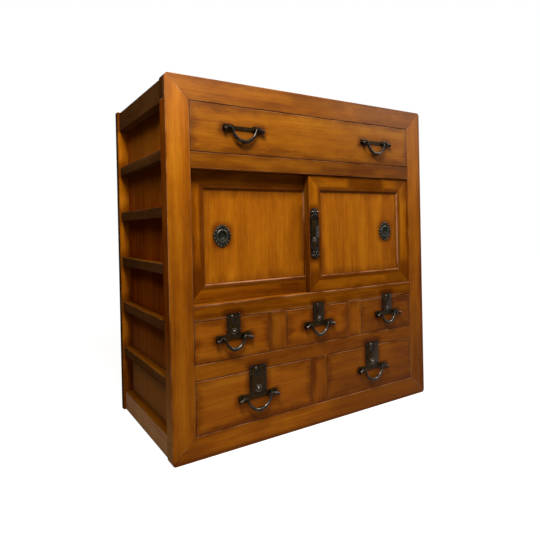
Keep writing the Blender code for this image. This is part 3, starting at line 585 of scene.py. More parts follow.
def wood(name, tones, grain, box, seed, halo, tone, stains=(), wear=BOARD_WEAR, gloss=FRONT_GLOSS,
         opening=None, mitred=False, arris_only=False, hidden=0.0, dust_and_bounce=False, reach=WEAR_REACH, painted_sheen=False,
         lit_from_above=False, painted_glint=0.0):
    """Lacquered board: figured grain, darkened edges, dark marks, and pale worn arrises.

    Opening is the box of the panel in a frame and hidden the width of edge that lies in a groove; both get painted
    shade. Edges that face left can get a painted highlight, and worn arrises are paler where they lean up, wear
    with a painted highlight. Other options lay painted light: a sheen high on the front, light from above high on
    a side, and bounce from the floor, with dust, low down. A material for arrises only is worn all over.
    """
    material, nodes, place, shader = new_material(name)
    figure = wood_figure(nodes, place, grain, seed)
    colour = wood_colour(nodes, figure, tones, tone)
    facing = nodes.add("ShaderNodeNewGeometry", {}, "Normal")
    along = nodes.split(nodes.vector("ABSOLUTE", facing))[grain]
    colour = nodes.blend(nodes.spread(along, *END_GRAIN), colour, END_GRAIN_COLOUR, "MULTIPLY")
    height = nodes.split(place)["Z"]
    # Painted light from above: the upper part of a side more orange and lighter.
    if lit_from_above:
        colour = nodes.blend(nodes.spread(height, *TOP_LIGHT), colour, TOP_LIGHT_COLOUR)

    edge = nodes.minus(edge_distance(nodes, place, box), hidden)
    inner = opening_distance(nodes, place, opening) if opening else None
    dark = darkness(nodes, place, figure, edge, halo, stains, inner, hidden > 0)
    colour = nodes.blend(dark, colour, HALO_COLOUR, "MULTIPLY")
    # Painted sheen: a pale veil high on the front and towards its ends.
    if painted_sheen:
        colour = nodes.blend(painted_sheen_mask(nodes, place), colour, PAINTED_SHEEN_COLOUR)
    # Paler towards the floor: dust, and painted light bounced from the floor.
    if dust_and_bounce:
        colour = nodes.blend(nodes.spread(height, *DUST_AND_BOUNCE), colour, DUST_AND_BOUNCE_COLOUR)
    colour = nodes.blend(speck_mask(nodes, place), colour, SPECK_COLOUR)

    # Wear is fuller where a face leans up: wear with a painted highlight from above.
    slope = BOARD_WEAR_AND_HIGHLIGHT_SLOPE
    if mitred:
        slope = FRAME_WEAR_AND_HIGHLIGHT_SLOPE
        edge = nodes.least(edge, mitre_distance(nodes, place))
    if opening:
        slope = OPENING_WEAR_AND_HIGHLIGHT_SLOPE
        edge = nodes.least(edge, nodes.times(nodes.most(inner, 0.0), RIDGE_SHARE))
    bare = bareness(nodes, facing, figure["mottle"], None if arris_only else edge, slope, reach, wear, painted_glint)
    colour = nodes.blend(bare, colour, WEAR_COLOUR)

    roughness = nodes.plus(nodes.spread(figure["fibre"], *WOOD_SHEEN), nodes.times(dark, DARK_SHEEN))
    relief = nodes.minus(nodes.times(figure["fibre"], FIBRE_RELIEF), nodes.times(figure["pore"], PORE_RELIEF))
    set_surface(nodes, colour, roughness, relief, WOOD_BUMP, WOOD_RELIEF)
    shader.inputs["Specular IOR Level"].default_value = gloss
    return material


def iron(name):
    """Blackened iron: brown patches, fine pits, a sheen that varies, and an upper side bright from rubbing and a
    painted highlight.
    """
    tones, roughness, metallic, rubbed, depth = IRONS[name]
    material, nodes, place, shader = new_material(name)
    patch = nodes.noise(place, IRON_PATCHES, 3.0, 0.6)
    pit = nodes.noise(place, IRON_PITS, 2.0)
    value = nodes.plus(nodes.times(patch, 0.8), nodes.times(pit, 0.2))
    colour = nodes.ramp(value, list(zip(IRON_STOPS, tones)))
    if rubbed:
        # The upper side is lighter: rubbing, and a painted highlight from above.
        upward = nodes.split(nodes.add("ShaderNodeTexCoord", {}, "Normal"))["Z"]
        handled = nodes.plus(upward, nodes.sway(patch, 0.5))
        colour = nodes.blend(nodes.spread(handled, *RUBBED_AND_LIT_LEANS), colour, (*rubbed, 1.0))
    sheen = nodes.spread(patch, 0.3, 0.7, roughness - 0.08, roughness + 0.12)
    relief = nodes.plus(nodes.times(patch, 0.7), nodes.times(pit, 0.3))
    set_surface(nodes, colour, sheen, relief, IRON_BUMP, depth)
    shader.inputs["Metallic"].default_value = metallic
    shader.inputs["Specular IOR Level"].default_value = IRON_GLOSS
    return material


def body_of(node):
    return next(body for body, members in BODIES.items() if node in members)


def spot(node):
    """Middle and half size of a node's box on the front: x, z, half width and half height."""
    low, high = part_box(node)
    return (low.x + high.x) / 2, (low.z + high.z) / 2, (high.x - low.x) / 2, (high.z - low.z) / 2


def slot_of(node):
    rows = frame["record"]["subparts"]
    return next(row["material_slot"] for row in rows if row["node"] == node)


def new_object(name, data):
    item = bpy.data.objects.new(name, data)
    bpy.context.scene.collection.objects.link(item)
    return item


def put(node, bm, materials, sharp):
    """Turn an edited mesh into a piece that rides on its node's body and stands for the node."""
    slot = slot_of(node)
    name = node + ("_forged" if slot == "iron" else "_wood")
    bmesh.ops.recalc_face_normals(bm, faces=bm.faces)
    mesh = bpy.data.meshes.new(name)
    bm.to_mesh(mesh)
    bm.free()
    for material in materials:
        mesh.materials.append(material)
    mesh.shade_smooth()
    mesh.set_sharp_from_angle(angle=radians(sharp))
    piece = new_object(name, mesh)
    if slot != "iron":
        flats = piece.modifiers.new("flats", "WEIGHTED_NORMAL")
        flats.keep_sharp = True
        flats.weight = 100
    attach(piece, body_of(node))
    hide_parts(node)


def round_edges(bm, edges, radius, segments):
    return bmesh.ops.bevel(bm, geom=edges, offset=radius, segments=segments, profile=0.5, affect="EDGES",
                           clamp_overlap=True)["faces"]


def worn_corners(bm):
    """Cut a piece of the front frame to the rounded corners of the whole front, and give the new faces."""
    low, high = WHOLE
    fresh = []
    for side_x, corner_x in ((-1, low.x), (1, high.x)):
        for side_z, corner_z in ((-1, low.z), (1, high.z)):
            centre = Vector((corner_x - side_x * CORNER_RADIUS, 0.0, corner_z - side_z * CORNER_RADIUS))
            for angle in CORNER_CUTS:
                outward = Vector((side_x * cos(radians(angle)), 0.0, side_z * sin(radians(angle))))
                whole = bm.verts[:] + bm.edges[:] + bm.faces[:]
                cut = bmesh.ops.bisect_plane(bm, geom=whole, dist=1e-7, plane_no=outward,
                                             plane_co=centre + outward * CORNER_RADIUS, clear_outer=True)
                rim = [item for item in cut["geom_cut"] if isinstance(item, bmesh.types.BMEdge)]
                fresh += bmesh.ops.holes_fill(bm, edges=rim)["faces"]
    bm.normal_update()
    return [face for face in fresh if face.is_valid]


def board(node, materials, chooser=None, edging=None, arris=ARRIS):
    """The solid's own shape with its long arrises rounded.

    A chooser gives each face its material, and an edging those of the rounded arrises that it does not skip.
    """
    bm = bmesh.new()
    bm.from_mesh(NODES[node].data)
    bmesh.ops.remove_doubles(bm, verts=bm.verts, dist=1e-5)
    bmesh.ops.dissolve_limit(bm, angle_limit=radians(1), verts=bm.verts, edges=bm.edges)
    if chooser:
        for face in bm.faces:
            face.material_index = chooser(face)
    sharp = [edge for edge in bm.edges if edge.is_manifold and edge.calc_length() > SHORTEST_ARRIS
             and edge.calc_face_angle() > radians(20)]
    rounded = round_edges(bm, sharp, arris, ARRIS_SEGMENTS)
    if edging:
        for face in rounded:
            face.normal_update()
            index = edging(face)
            if index is not None:
                face.material_index = index
    if node.startswith("front"):
        for face in worn_corners(bm):
            face.material_index = chooser(face)
    put(node, bm, materials, WOOD_SHARP)


def skin(bm, loops, closed=False):
    """Faces between neighbouring loops; open ends are capped, and a loop of one point is a tip."""
    pairs = list(zip(loops, loops[1:]))
    if closed:
        pairs.append((loops[-1], loops[0]))
    for near, far in pairs:
        count = max(len(near), len(far))
        for i in range(count):
            j = (i + 1) % count
            corners = [near[i % len(near)], near[j % len(near)], far[j % len(far)], far[i % len(far)]]
            bm.faces.new(list(dict.fromkeys(corners)))
    if not closed:
        for loop in (loops[0], loops[-1]):
            if len(loop) > 2:
                bm.faces.new(loop)


def turns_of(sides):
    return [2 * pi * i / sides for i in range(sides)]


def revolve(bm, centre, axis, profile, sides, closed=False):
    """Turn (radius, reach) points about an axis through a centre; reach runs towards the front or along x."""
    loops = []
    for radius, reach in profile:
        angles = turns_of(sides) if radius > 0 else [0.0]
        turns = [(radius * cos(angle), radius * sin(angle)) for angle in angles]
        if axis == "Y":
            points = [Vector((first, -reach, second)) for first, second in turns]
        else:
            points = [Vector((reach, first, second)) for first, second in turns]
        loops.append([bm.verts.new(point + Vector(centre)) for point in points])
    skin(bm, loops, closed)


def sweep(bm, path, sides):
    """Round bar along (point, radius) pairs."""
    loops = []
    for i, (point, radius) in enumerate(path):
        before = path[max(i - 1, 0)][0]
        after = path[min(i + 1, len(path) - 1)][0]
        along = (after - before).normalized()
        across = along.cross(Vector((0, -1, 0))).normalized()
        front = across.cross(along).normalized()
        offsets = [across * cos(angle) * radius + front * sin(angle) * radius for angle in turns_of(sides)]
        loops.append([bm.verts.new(point + offset) for offset in offsets])
    skin(bm, loops)


def slab(bm, outline, back, front, chamfer):
    """Plate from back to front on an (x, z) outline, with its front arrises rounded."""
    rear = [bm.verts.new((x, back, z)) for x, z in outline]
    face = [bm.verts.new((x, front, z)) for x, z in outline]
    skin(bm, [rear, face])
    edges = [bm.edges.get((face[i - 1], face[i])) for i in range(len(face))]
    round_edges(bm, edges, chamfer, 2)


def arc(x, z, radius, start, end, steps):
    """Points of an arc from one angle to another, in degrees."""
    angles = [radians(start + (end - start) * i / steps) for i in range(steps + 1)]
    return [(x + radius * cos(angle), z + radius * sin(angle)) for angle in angles]


def rounded_box(low_x, low_z, high_x, high_z, radius, steps=4):
    corners = ((high_x - radius, low_z + radius, -90), (high_x - radius, high_z - radius, 0),
               (low_x + radius, high_z - radius, 90), (low_x + radius, low_z + radius, 180))
    outline = []
    for x, z, start in corners:
        outline += arc(x, z, radius, start, start + 90, steps)
    return outline


def dome(bm, x, y, z, radius, height, sides=14, steps=4):
    """Round head that rises from a face towards the front, and starts a little behind it."""
    profile = [(radius, -height * 0.3)]
    for i in range(steps):
        angle = pi / 2 * i / steps
        profile.append((radius * cos(angle), height * sin(angle)))
    profile.append((0.0, height))
    revolve(bm, (x, y, z), "Y", profile, sides)


def hoop(bm, x, y, z, radius, wire, sides=28, wire_sides=8):
    """Ring of round wire that lies on a face."""
    profile = [(radius + wire * cos(angle), wire * sin(angle)) for angle in turns_of(wire_sides)]
    revolve(bm, (x, y, z), "Y", profile, sides, closed=True)


def polish(bm, plain, index):
    """Give the faces that were added after the plain ones another material, and return all faces so far."""
    for face in bm.faces:
        if face not in plain:
            face.material_index = index
    return set(bm.faces)


def bail_path(handle):
    """Middle line and radius of a bail from its lowest point out to the lip of the flared end."""
    span, drop = handle
    neck_start = span / 2 - EYE_WIDTH / 2 - NECK_MARGIN
    neck_end = span / 2 + EYE_WIDTH / 2 + NECK_MARGIN
    path = []
    for i in range(BOW_STEPS + 1):
        t = i / BOW_STEPS
        rest = 1 - t
        x = neck_start * (3 * rest * rest * t * BOW_ROUNDNESS + 3 * rest * t * t * BOW_SHOULDER + t ** 3)
        z = -drop * (rest ** 3 + 3 * rest * rest * t + 3 * rest * t * t * BOW_SIDE)
        path.append((x, z, BAR_RADIUS + (NECK_RADIUS - BAR_RADIUS) * t ** BAR_TAPER))
    path += [(span / 2, 0.0, NECK_RADIUS), (neck_end, 0.0, NECK_RADIUS)]
    flare = [(share, NECK_RADIUS + (FLARE_RADIUS - NECK_RADIUS) * share ** FLARE_CURVE)
             for share in FLARE_SHARES]
    flare += [(share, FLARE_RADIUS * width) for share, width in FLARE_LIP]
    for share, radius in flare:
        length = FLARE_LENGTH * share
        path.append((neck_end + length * cos(FLARE_TILT), -length * sin(FLARE_TILT), radius))
    return path


def add_bail(node, pivot, handle, material):
    """Wrought bail: a bow that thins towards its necks and ends in two trumpets."""
    right = bail_path(handle)
    whole = [(-x, z, radius) for x, z, radius in reversed(right[1:])] + right
    path = []
    for x, z, radius in whole:
        point = Vector((x, 0, z)) + pivot
        path.append((point, radius * (1 + HAMMER_DEPTH * noise.noise(point * HAMMER_SCALE))))
    bm = bmesh.new()
    sweep(bm, path, BAR_SIDES)
    put(node, bm, [material], BAIL_SHARP)


def add_mount(node, pivot, handle, seat, plate, black):
    """Back plate with widened ends, an eye on a stem near each end, and a nail beyond each eye."""
    span = handle[0]
    near = span / 2 - STRIP_END_INNER
    far = span / 2 + STRIP_END_OUTER
    waist = STRIP_HEIGHT / 2
    half = STRIP_END_HEIGHT / 2
    corner = STRIP_END_CORNER
    lower = [(near - (half - waist) - STRIP_SLOPE, -waist), (near, -half)]
    lower += arc(far - corner, corner - half, corner, -90, 0, 4)
    right = lower + [(px, -pz) for px, pz in reversed(lower)]
    outline = right + [(-px, -pz) for px, pz in right]
    bm = bmesh.new()
    front = seat - PLATE_THICK
    slab(bm, [(pivot.x + px, pivot.z + pz) for px, pz in outline], seat, front, PLATE_CHAMFER)
    plain = polish(bm, (), 0)
    wall = (EYE_RADIUS - EYE_BORE) / 2
    middle = (EYE_RADIUS + EYE_BORE) / 2
    eye = [(middle + wall * cos(angle), EYE_WIDTH / 2 * sin(angle)) for angle in turns_of(EYE_WIRE_SIDES)]
    reach = front - pivot.y - EYE_BORE - wall
    stem = [(0.0036, -PLATE_THICK / 2), (0.0036, 0.0006), (0.0024, 0.0016), (0.0020, reach)]
    for side in (-1, 1):
        x = pivot.x + side * span / 2
        revolve(bm, (x, pivot.y, pivot.z), "X", eye, 20, closed=True)
        revolve(bm, (x, front, pivot.z), "Y", stem, 14)
        dome(bm, pivot.x + side * (far - NAIL_INSET), front, pivot.z, *NAIL)
    polish(bm, plain, 1)
    put(node, bm, [plate, black], IRON_SHARP)


def add_drawer_lock(node, seat, plate, worn, bright, black):
    """Lock plate with a dark nailed border, a stud, a dark disc, a ringed knob and a tab below."""
    low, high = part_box(node)
    x = (low.x + high.x) / 2
    width = high.x - low.x
    height = high.z - low.z
    border = width * 0.10
    front = seat - LOCK_THICK
    sunk = front + LOCK_SINK / 2
    bm = bmesh.new()
    slab(bm, rounded_box(low.x, low.z, high.x, high.z, 0.0034), seat, front, LOCK_CHAMFER)
    plain = polish(bm, (), 3)

    field = rounded_box(low.x + border, low.z + border, high.x - border, high.z - border, 0.0024)
    slab(bm, field, sunk, front - 0.0005, 0.0004)
    tab = arc(x, low.z + 0.001, width * 0.17, 180, 360, 10)
    slab(bm, tab, sunk, front - 0.0006, 0.0004)
    plain = polish(bm, plain, 0)

    for side in (-1, 1):
        nail_x = x + side * (width - border) / 2
        for share in (0.05, 0.17, 0.30, 0.76, 0.92):
            dome(bm, nail_x, front, high.z - height * share, 0.0013, 0.0010, 10, 3)
    plain = polish(bm, plain, 1)

    knob_z = low.z + height * 0.185
    dome(bm, x, front, knob_z, width * 0.10, 0.0042, 18, 6)
    dome(bm, x - width * 0.12, front, high.z - height * 0.10, width * 0.07, 0.0022)
    hoop(bm, x, front - 0.0006, knob_z, width * 0.17, 0.0010)
    plain = polish(bm, plain, 2)

    disc = width * 0.23
    rolled = [(disc, -0.0004), (disc, 0.0009), (disc - 0.0007, 0.0013), (disc - 0.0018, 0.0013),
              (disc - 0.0025, 0.0009), (0, 0.0012)]
    revolve(bm, (x, front, high.z - height * 0.27), "Y", rolled, 28)
    polish(bm, plain, 3)
    put(node, bm, [plate, worn, bright, black], IRON_SHARP)


def scroll(x, y, z, radius, start, turn, wire, steps=16):
    """Path of a small curled bar on a face: it winds in and thins as it turns."""
    path = []
    for i in range(steps + 1):
        share = i / steps
        angle = radians(start + turn * share)
        reach = radius * (1 - 0.65 * share)
        path.append((Vector((x + reach * cos(angle), y, z + reach * sin(angle))), wire * (1 - 0.3 * share)))
    return path


def door_lock_outline(half, end):
    """Outline of a long plate about its middle: straight sides, a notch near each end, and domed ends."""
    lobe = DOOR_LOCK_LOBE
    notch = DOOR_LOCK_NOTCH
    quarter = [(half, 0.0), (half, end - lobe - 2 * notch), (half - notch, end - lobe - notch),
               (half - notch, end - lobe)]
    for i in range(8):
        angle = radians(6 + 84 * i / 8)
        quarter.append(((half - 0.0008) * cos(angle), end - lobe + 0.001 + (lobe - 0.001) * sin(angle)))
    right = [(px, -pz) for px, pz in reversed(quarter[1:])] + quarter
    return [(0.0, -end)] + right + [(0.0, end)] + [(-px, pz) for px, pz in reversed(right)]


def add_door_lock(node, seat, plate, bright, black):
    """Long plate with domed ends, curled shoulders, a raised bolt, a knob and a ring."""
    x, z, half, end = spot(node)
    front = seat - LOCK_THICK
    sunk = front + LOCK_SINK
    bm = bmesh.new()
    slab(bm, [(x + px, z + pz) for px, pz in door_lock_outline(half, end)], seat, front, LOCK_CHAMFER)
    plain = polish(bm, (), 2)

    inner = half - 0.0045
    field = rounded_box(x - inner, z - 0.036, x + inner, z + 0.036, 0.003)
    slab(bm, field, sunk, front - 0.0007, 0.0004)
    bridge = rounded_box(x - half + 0.0015, z + 0.0195, x + half - 0.0015, z + 0.0235, 0.0012)
    slab(bm, bridge, sunk, front - 0.0016, 0.0005)
    ring_x = x + 0.0008
    ring_z = z - 0.0318
    hoop(bm, ring_x, front - 0.0006, ring_z, 0.0068, 0.0013)
    dome(bm, ring_x, front, ring_z, 0.0026, 0.0014)
    plain = polish(bm, plain, 0)

    bolt = rounded_box(x + 0.0008, z - 0.0115, x + half - 0.0018, z + 0.0185, 0.0015)
    slab(bm, bolt, sunk, front - 0.0026, 0.0006)
    for top in (1, -1):
        for side in (-1, 1):
            curl_x = x + side * half * 0.48
            curl_z = z + top * (end - DOOR_LOCK_LOBE * 0.86)
            turn = (top * (90 - side * 62), side * top * 250)
            sweep(bm, scroll(curl_x, front - 0.0006, curl_z, half * 0.50, *turn, 0.0016), 8)
        dome(bm, x, front, z + top * (end - 0.009), *STUD)
    revolve(bm, (x - 0.003, front, z - 0.0172), "Y", DOOR_KNOB, 22)
    polish(bm, plain, 1)
    put(node, bm, [plate, bright, black], IRON_SHARP)


def add_pull(node, seat, pewter, patina, bright):
    """Finger pull: scalloped plate with beads on its slopes, a lip with a bright crest, and a deep cup."""
    x, z, width, height = spot(node)
    width += PULL_SPREAD
    angles = turns_of(PULL_SIDES)
    bm = bmesh.new()

    def rim(angle, inset):
        swell = PULL_LOBE * (cos(4 * angle) - 1) + PULL_SCALLOP * (cos(24 * angle) - 1) - inset
        return (width + swell) * cos(angle), (height + swell) * sin(angle)

    def loop(points, reach):
        return [bm.verts.new((x + px, seat - reach, z + pz)) for px, pz in points]

    def turned(radius, reach):
        count = PULL_SIDES if radius > 0 else 1
        return loop([(radius * cos(angle), radius * sin(angle)) for angle in angles[:count]], reach)

    bowl = []
    for step in range(BOWL_STEPS):
        angle = pi / 2 * step / BOWL_STEPS
        bowl.append((CUP_INSIDE * cos(angle), CUP_MOUTH - BOWL_DEPTH * sin(angle)))
    bowl.append((0.0, CUP_MOUTH - BOWL_DEPTH))
    loops = [turned(radius, reach) for radius, reach in CUP_BACK]
    loops += [loop([rim(angle, inset) for angle in angles], reach) for inset, reach in PULL_PLATE]
    loops += [turned(radius, reach) for radius, reach in PULL_LIP + tuple(bowl)]
    skin(bm, loops)
    crest = len(CUP_BACK) + len(PULL_PLATE) + 1
    for i, face in enumerate(bm.faces):
        band = i // PULL_SIDES
        face.material_index = 0 if band < crest else 2 if band == crest else 1
    plain = set(bm.faces)
    for bead in range(BEAD_COUNT):
        px, pz = rim(2 * pi * (bead + 0.5) / BEAD_COUNT, BEAD_INSET)
        dome(bm, x + px, seat - BEAD_SEAT, z + pz, *BEAD, 10, 3)
    polish(bm, plain, 2)
    put(node, bm, [pewter, patina, bright], IRON_SHARP)


def door_profile():
    """Section of a door frame's member as (inset from its outer edge, depth), with a rounded inner edge."""
    profile = [(0, 0)]
    for step in range(DOOR_EDGE_STEPS + 1):
        angle = pi / 2 * step / DOOR_EDGE_STEPS
        slope = sin(angle) ** DOOR_EDGE_FULLNESS
        fall = cos(angle) ** DOOR_EDGE_FULLNESS if step < DOOR_EDGE_STEPS else 0.0
        profile.append((DOOR_MEMBER - DOOR_BEVEL_WIDTH * (1 - slope), DOOR_BEVEL_DEPTH * (1 - fall)))
    profile.append((DOOR_MEMBER, DOOR_PANEL_RECESS - JOINT_GAP))
    return profile + [(DOOR_MEMBER, DOOR_THICK), (0, DOOR_THICK)]


def add_door_frame(node, level, upright, flank):
    """Four mitred members with a rounded inner edge; the level ones carry the tongues."""
    low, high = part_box(node)
    foot = low.z + LOWER_TONGUE
    head = high.z - UPPER_TONGUE
    front = low.y
    centre = Vector(((low.x + high.x) / 2, front, (foot + head) / 2))
    half_x = (high.x - low.x) / 2
    half_z = (head - foot) / 2
    bm = bmesh.new()
    for turn in range(4):
        long_half, short_half = (half_x, half_z) if turn % 2 == 0 else (half_z, half_x)
        swing = Matrix.Rotation(turn * pi / 2, 4, "Y")
        loops = []
        for side in (-1, 1):
            loop = []
            for inset, depth in door_profile():
                point = Vector((side * (long_half - inset - MITRE_GAP), depth, inset - short_half))
                loop.append(bm.verts.new(swing @ point + centre))
            loops.append(loop)
        before = set(bm.faces)
        skin(bm, loops)
        fresh = [face for face in bm.faces if face not in before]
        edges = {edge for face in fresh for edge in face.edges if edge.calc_length() > SHORTEST_ARRIS
                 and edge.calc_face_angle() > radians(50)}
        round_edges(bm, list(edges), DOOR_ARRIS, 2)
        polish(bm, before, turn % 2)
    bm.normal_update()
    # Outer flanks get the dark flank material: painted shade.
    for face in bm.faces:
        outer = abs(face.calc_center_median().x - centre.x) > half_x - FLANK_MARGIN
        if outer and is_flank(face):
            face.material_index = 2
    tongue_front = front + TONGUE_SETBACK
    for bottom, top in ((low.z, foot + TONGUE_ROOT), (head - TONGUE_ROOT, high.z)):
        outline = rounded_box(low.x + TONGUE_END, bottom, high.x - TONGUE_END, top, 0.0006, 2)
        slab(bm, outline, tongue_front + TONGUE_THICK, tongue_front, 0.0004)
    put(node, bm, [level, upright, flank], WOOD_SHARP)


def add_camera():
    data = bpy.data.cameras.new("camera")
    data.lens = CAMERA_LENS
    data.sensor_width = CAMERA_SENSOR
    data.shift_y = CAMERA_RISE
    place = Matrix.Translation(CAMERA_PLACE)
    for angle, axis in ((-CAMERA_YAW, "Z"), (90 + CAMERA_PITCH, "X"), (CAMERA_ROLL, "Z")):
        place = place @ Matrix.Rotation(radians(angle), 4, axis)
    camera = new_object("camera", data)
    camera.matrix_world = place
    bpy.context.scene.camera = camera


def seen_directly(nodes):
    """1 for rays from the camera, a mirror or clear matter, 0 for rays that only carry light."""
    path = nodes.add("ShaderNodeLightPath", {}, "Is Camera Ray")
    rays = path.node.outputs
    return nodes.most(nodes.most(path, rays["Is Glossy Ray"]), rays["Is Transmission Ray"])


def add_room():
    """Dim even room light, white where it is seen."""
    world = bpy.data.worlds.new("room")
    world.use_nodes = True
    bpy.context.scene.world = world
    nodes = Nodes(world.node_tree)
    light = world.node_tree.nodes["Background"]
    light.inputs["Color"].default_value = (*ROOM_COLOUR, 1.0)
    light.inputs["Strength"].default_value = ROOM_STRENGTH
    white = nodes.add("ShaderNodeBackground", {"Color": (1.0, 1.0, 1.0, 1.0), "Strength": 1.0})
    mix = nodes.add("ShaderNodeMixShader", {0: seen_directly(nodes), 1: light.outputs[0], 2: white})
    nodes.join(mix, "World Output", "Surface")


def add_floor():
    """Pale floor that keeps the chest's shadow and is white where it is lit."""
    bm = bmesh.new()
    bmesh.ops.create_grid(bm, x_segments=4, y_segments=4, size=FLOOR_SIZE / 2)
    mesh = bpy.data.meshes.new("floor")
    bm.to_mesh(mesh)
    bm.free()
    floor = new_object("floor", mesh)
    floor.location.z = -FLOOR_DROP
    material, nodes, place, shader = new_material("floor_paint")
    grey = nodes.noise(place, 3.0, 2.0)
    shaded = [channel * FLOOR_SHADE for channel in FLOOR_COLOUR]
    tint = nodes.ramp(grey, ((0.3, shaded), (0.7, FLOOR_COLOUR)))
    nodes.join(tint, "Principled BSDF", "Base Color")
    shader.inputs["Roughness"].default_value = 0.9
    shader.inputs["Specular IOR Level"].default_value = 0.0
    away = nodes.vector("LENGTH", place, output="Value")
    level = nodes.spread(away, FLOOR_WHITE_FROM / 3, FLOOR_WHITE_FROM, FLOOR_GLOW, 1.0)
    glow = nodes.add("ShaderNodeEmission", {"Strength": nodes.times(seen_directly(nodes), level)})
    both = nodes.add("ShaderNodeAddShader", {0: shader.outputs[0], 1: glow})
    nodes.join(both, "Material Output", "Surface")
    mesh.materials.append(material)


def add_lamps():
    for name, (place, power) in LAMPS.items():
        data = bpy.data.lights.new(name, "AREA")
        data.shape = "RECTANGLE"
        data.size = LAMP_WIDTH
        data.size_y = LAMP_DEPTH
        data.energy = power
        data.color = LAMP_COLOUR
        lamp = new_object(name, data)
        lamp.location = place
        lamp.rotation_mode = "QUATERNION"
        lamp.rotation_quaternion = (Vector(LAMP_TARGET) - Vector(place)).to_track_quat("-Z", "Y")


def front_stains():
    """Dark marks on the front: those listed, and those that hands left round the fittings."""
    stains = list(SMUDGES)
    for node in NODES:
        x, z, half_x, half_z = spot(node)
        if "handle_mount" in node:
            inset_x, inset_z = GRIP_INSET
            stains.append((x, z - GRIP_DROP, half_x - inset_x, half_z - inset_z, *GRIP))
            for side in (-1, 1):
                stains.append((x + side * (half_x - GRIP_END_INSET), z - GRIP_END_DROP, *GRIP_END))
        elif "lock_plate" in node:
            stains.append((x, z, half_x - LOCK_STAIN_INSET, half_z - LOCK_STAIN_INSET, *STAIN))
        elif "finger_pull" in node:
            stains.append((x, z, half_x * PULL_STAIN_SHARE, half_z * PULL_STAIN_SHARE, *STAIN))
    return stains


def stains_near(box, stains):
    low, high = box
    near = []
    for stain in stains:
        x, z, half_x, half_z, reach, depth = stain
        level = low.x - half_x - reach < x < high.x + half_x + reach
        upright = low.z - half_z - reach < z < high.z + half_z + reach
        if level and upright:
            near.append(stain)
    return near


def is_flank(face):
    return int(abs(face.normal.x) > SQUARE)


def batten_places(box):
    """Heights of the middles of a side's battens."""
    low, high = box
    gap = (high.z - low.z - 2 * SIDE_RAIL_HEIGHT - BATTEN_COUNT * BATTEN_HEIGHT) / (BATTEN_COUNT + 1)
    first = low.z + SIDE_RAIL_HEIGHT + gap + BATTEN_HEIGHT / 2
    return [first + i * (gap + BATTEN_HEIGHT) for i in range(BATTEN_COUNT)]


def batten_shadows(box):
    """Painted shadow on a side panel under the ladder's top rail and battens."""
    low, high = box
    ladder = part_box("side_ladder_left")
    under = [place - BATTEN_HEIGHT / 2 for place in batten_places(ladder)]
    under.append(ladder[1].z - SIDE_RAIL_HEIGHT)
    return [((low.x + high.x) / 2, place - BATTEN_SHADOW_HEIGHT / 2, ALL_ACROSS, *BATTEN_SHADOW) for place in under]


def dress_board(node, tones, grain, halo, tone, seed, stains):
    """A plain board; one of the front frame has another, darker material on its flanks: painted shade on a stile,
    end grain in that shade on a rail.
    """
    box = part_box(node)
    shift = seed * SEED_STEP
    tints = OWN_TINTS.get(node, tones)
    framing = node.startswith("front")
    on_front = tints in (AMBER, GOLD, COPPER) and node != "top_board"
    on_side = node.startswith("side")
    in_door = node.startswith("door") and node.endswith("panel")
    wear = FRAME_WEAR if framing else BOARD_WEAR
    gloss = SIDE_GLOSS if node.startswith(("side", "rear", "back")) else FRONT_GLOSS
    reach = WEAR_REACH
    if node == "door_sill_rail":
        wear, gloss, reach = SILL_FINISH
    # Side panels get painted shadow under the battens; front boards the dark marks near them.
    near = batten_shadows(box) if on_side else stains_near(box, stains) if on_front else ()
    # Sides: paler low down, dust and painted floor bounce, and painted light from above; fronts: a painted sheen.
    materials = [wood(node + "_finish", tints, grain, box, shift, halo, OWN_TONES.get(node, tone), near, wear,
                      gloss, reach=reach, mitred=framing, painted_sheen=on_front, dust_and_bounce=on_side, lit_from_above=on_side,
                      hidden=PANEL_TONGUE if in_door else 0.0)]
    # Flanks: painted shade, with end grain on a rail's ends; paler low down, dust and painted floor bounce.
    if framing:
        flank_tones, flank_tone = SHADED_STILE_FLANK if grain == "Z" else SHADED_END_GRAIN_FLANK
        materials.append(wood(node + "_flank", flank_tones, "Z", box, shift, halo, flank_tone,
                              gloss=SIDE_GLOSS, dust_and_bounce=True))
    board(node, materials, is_flank if framing else None, arris=OWN_ARRISES.get(node, ARRIS))


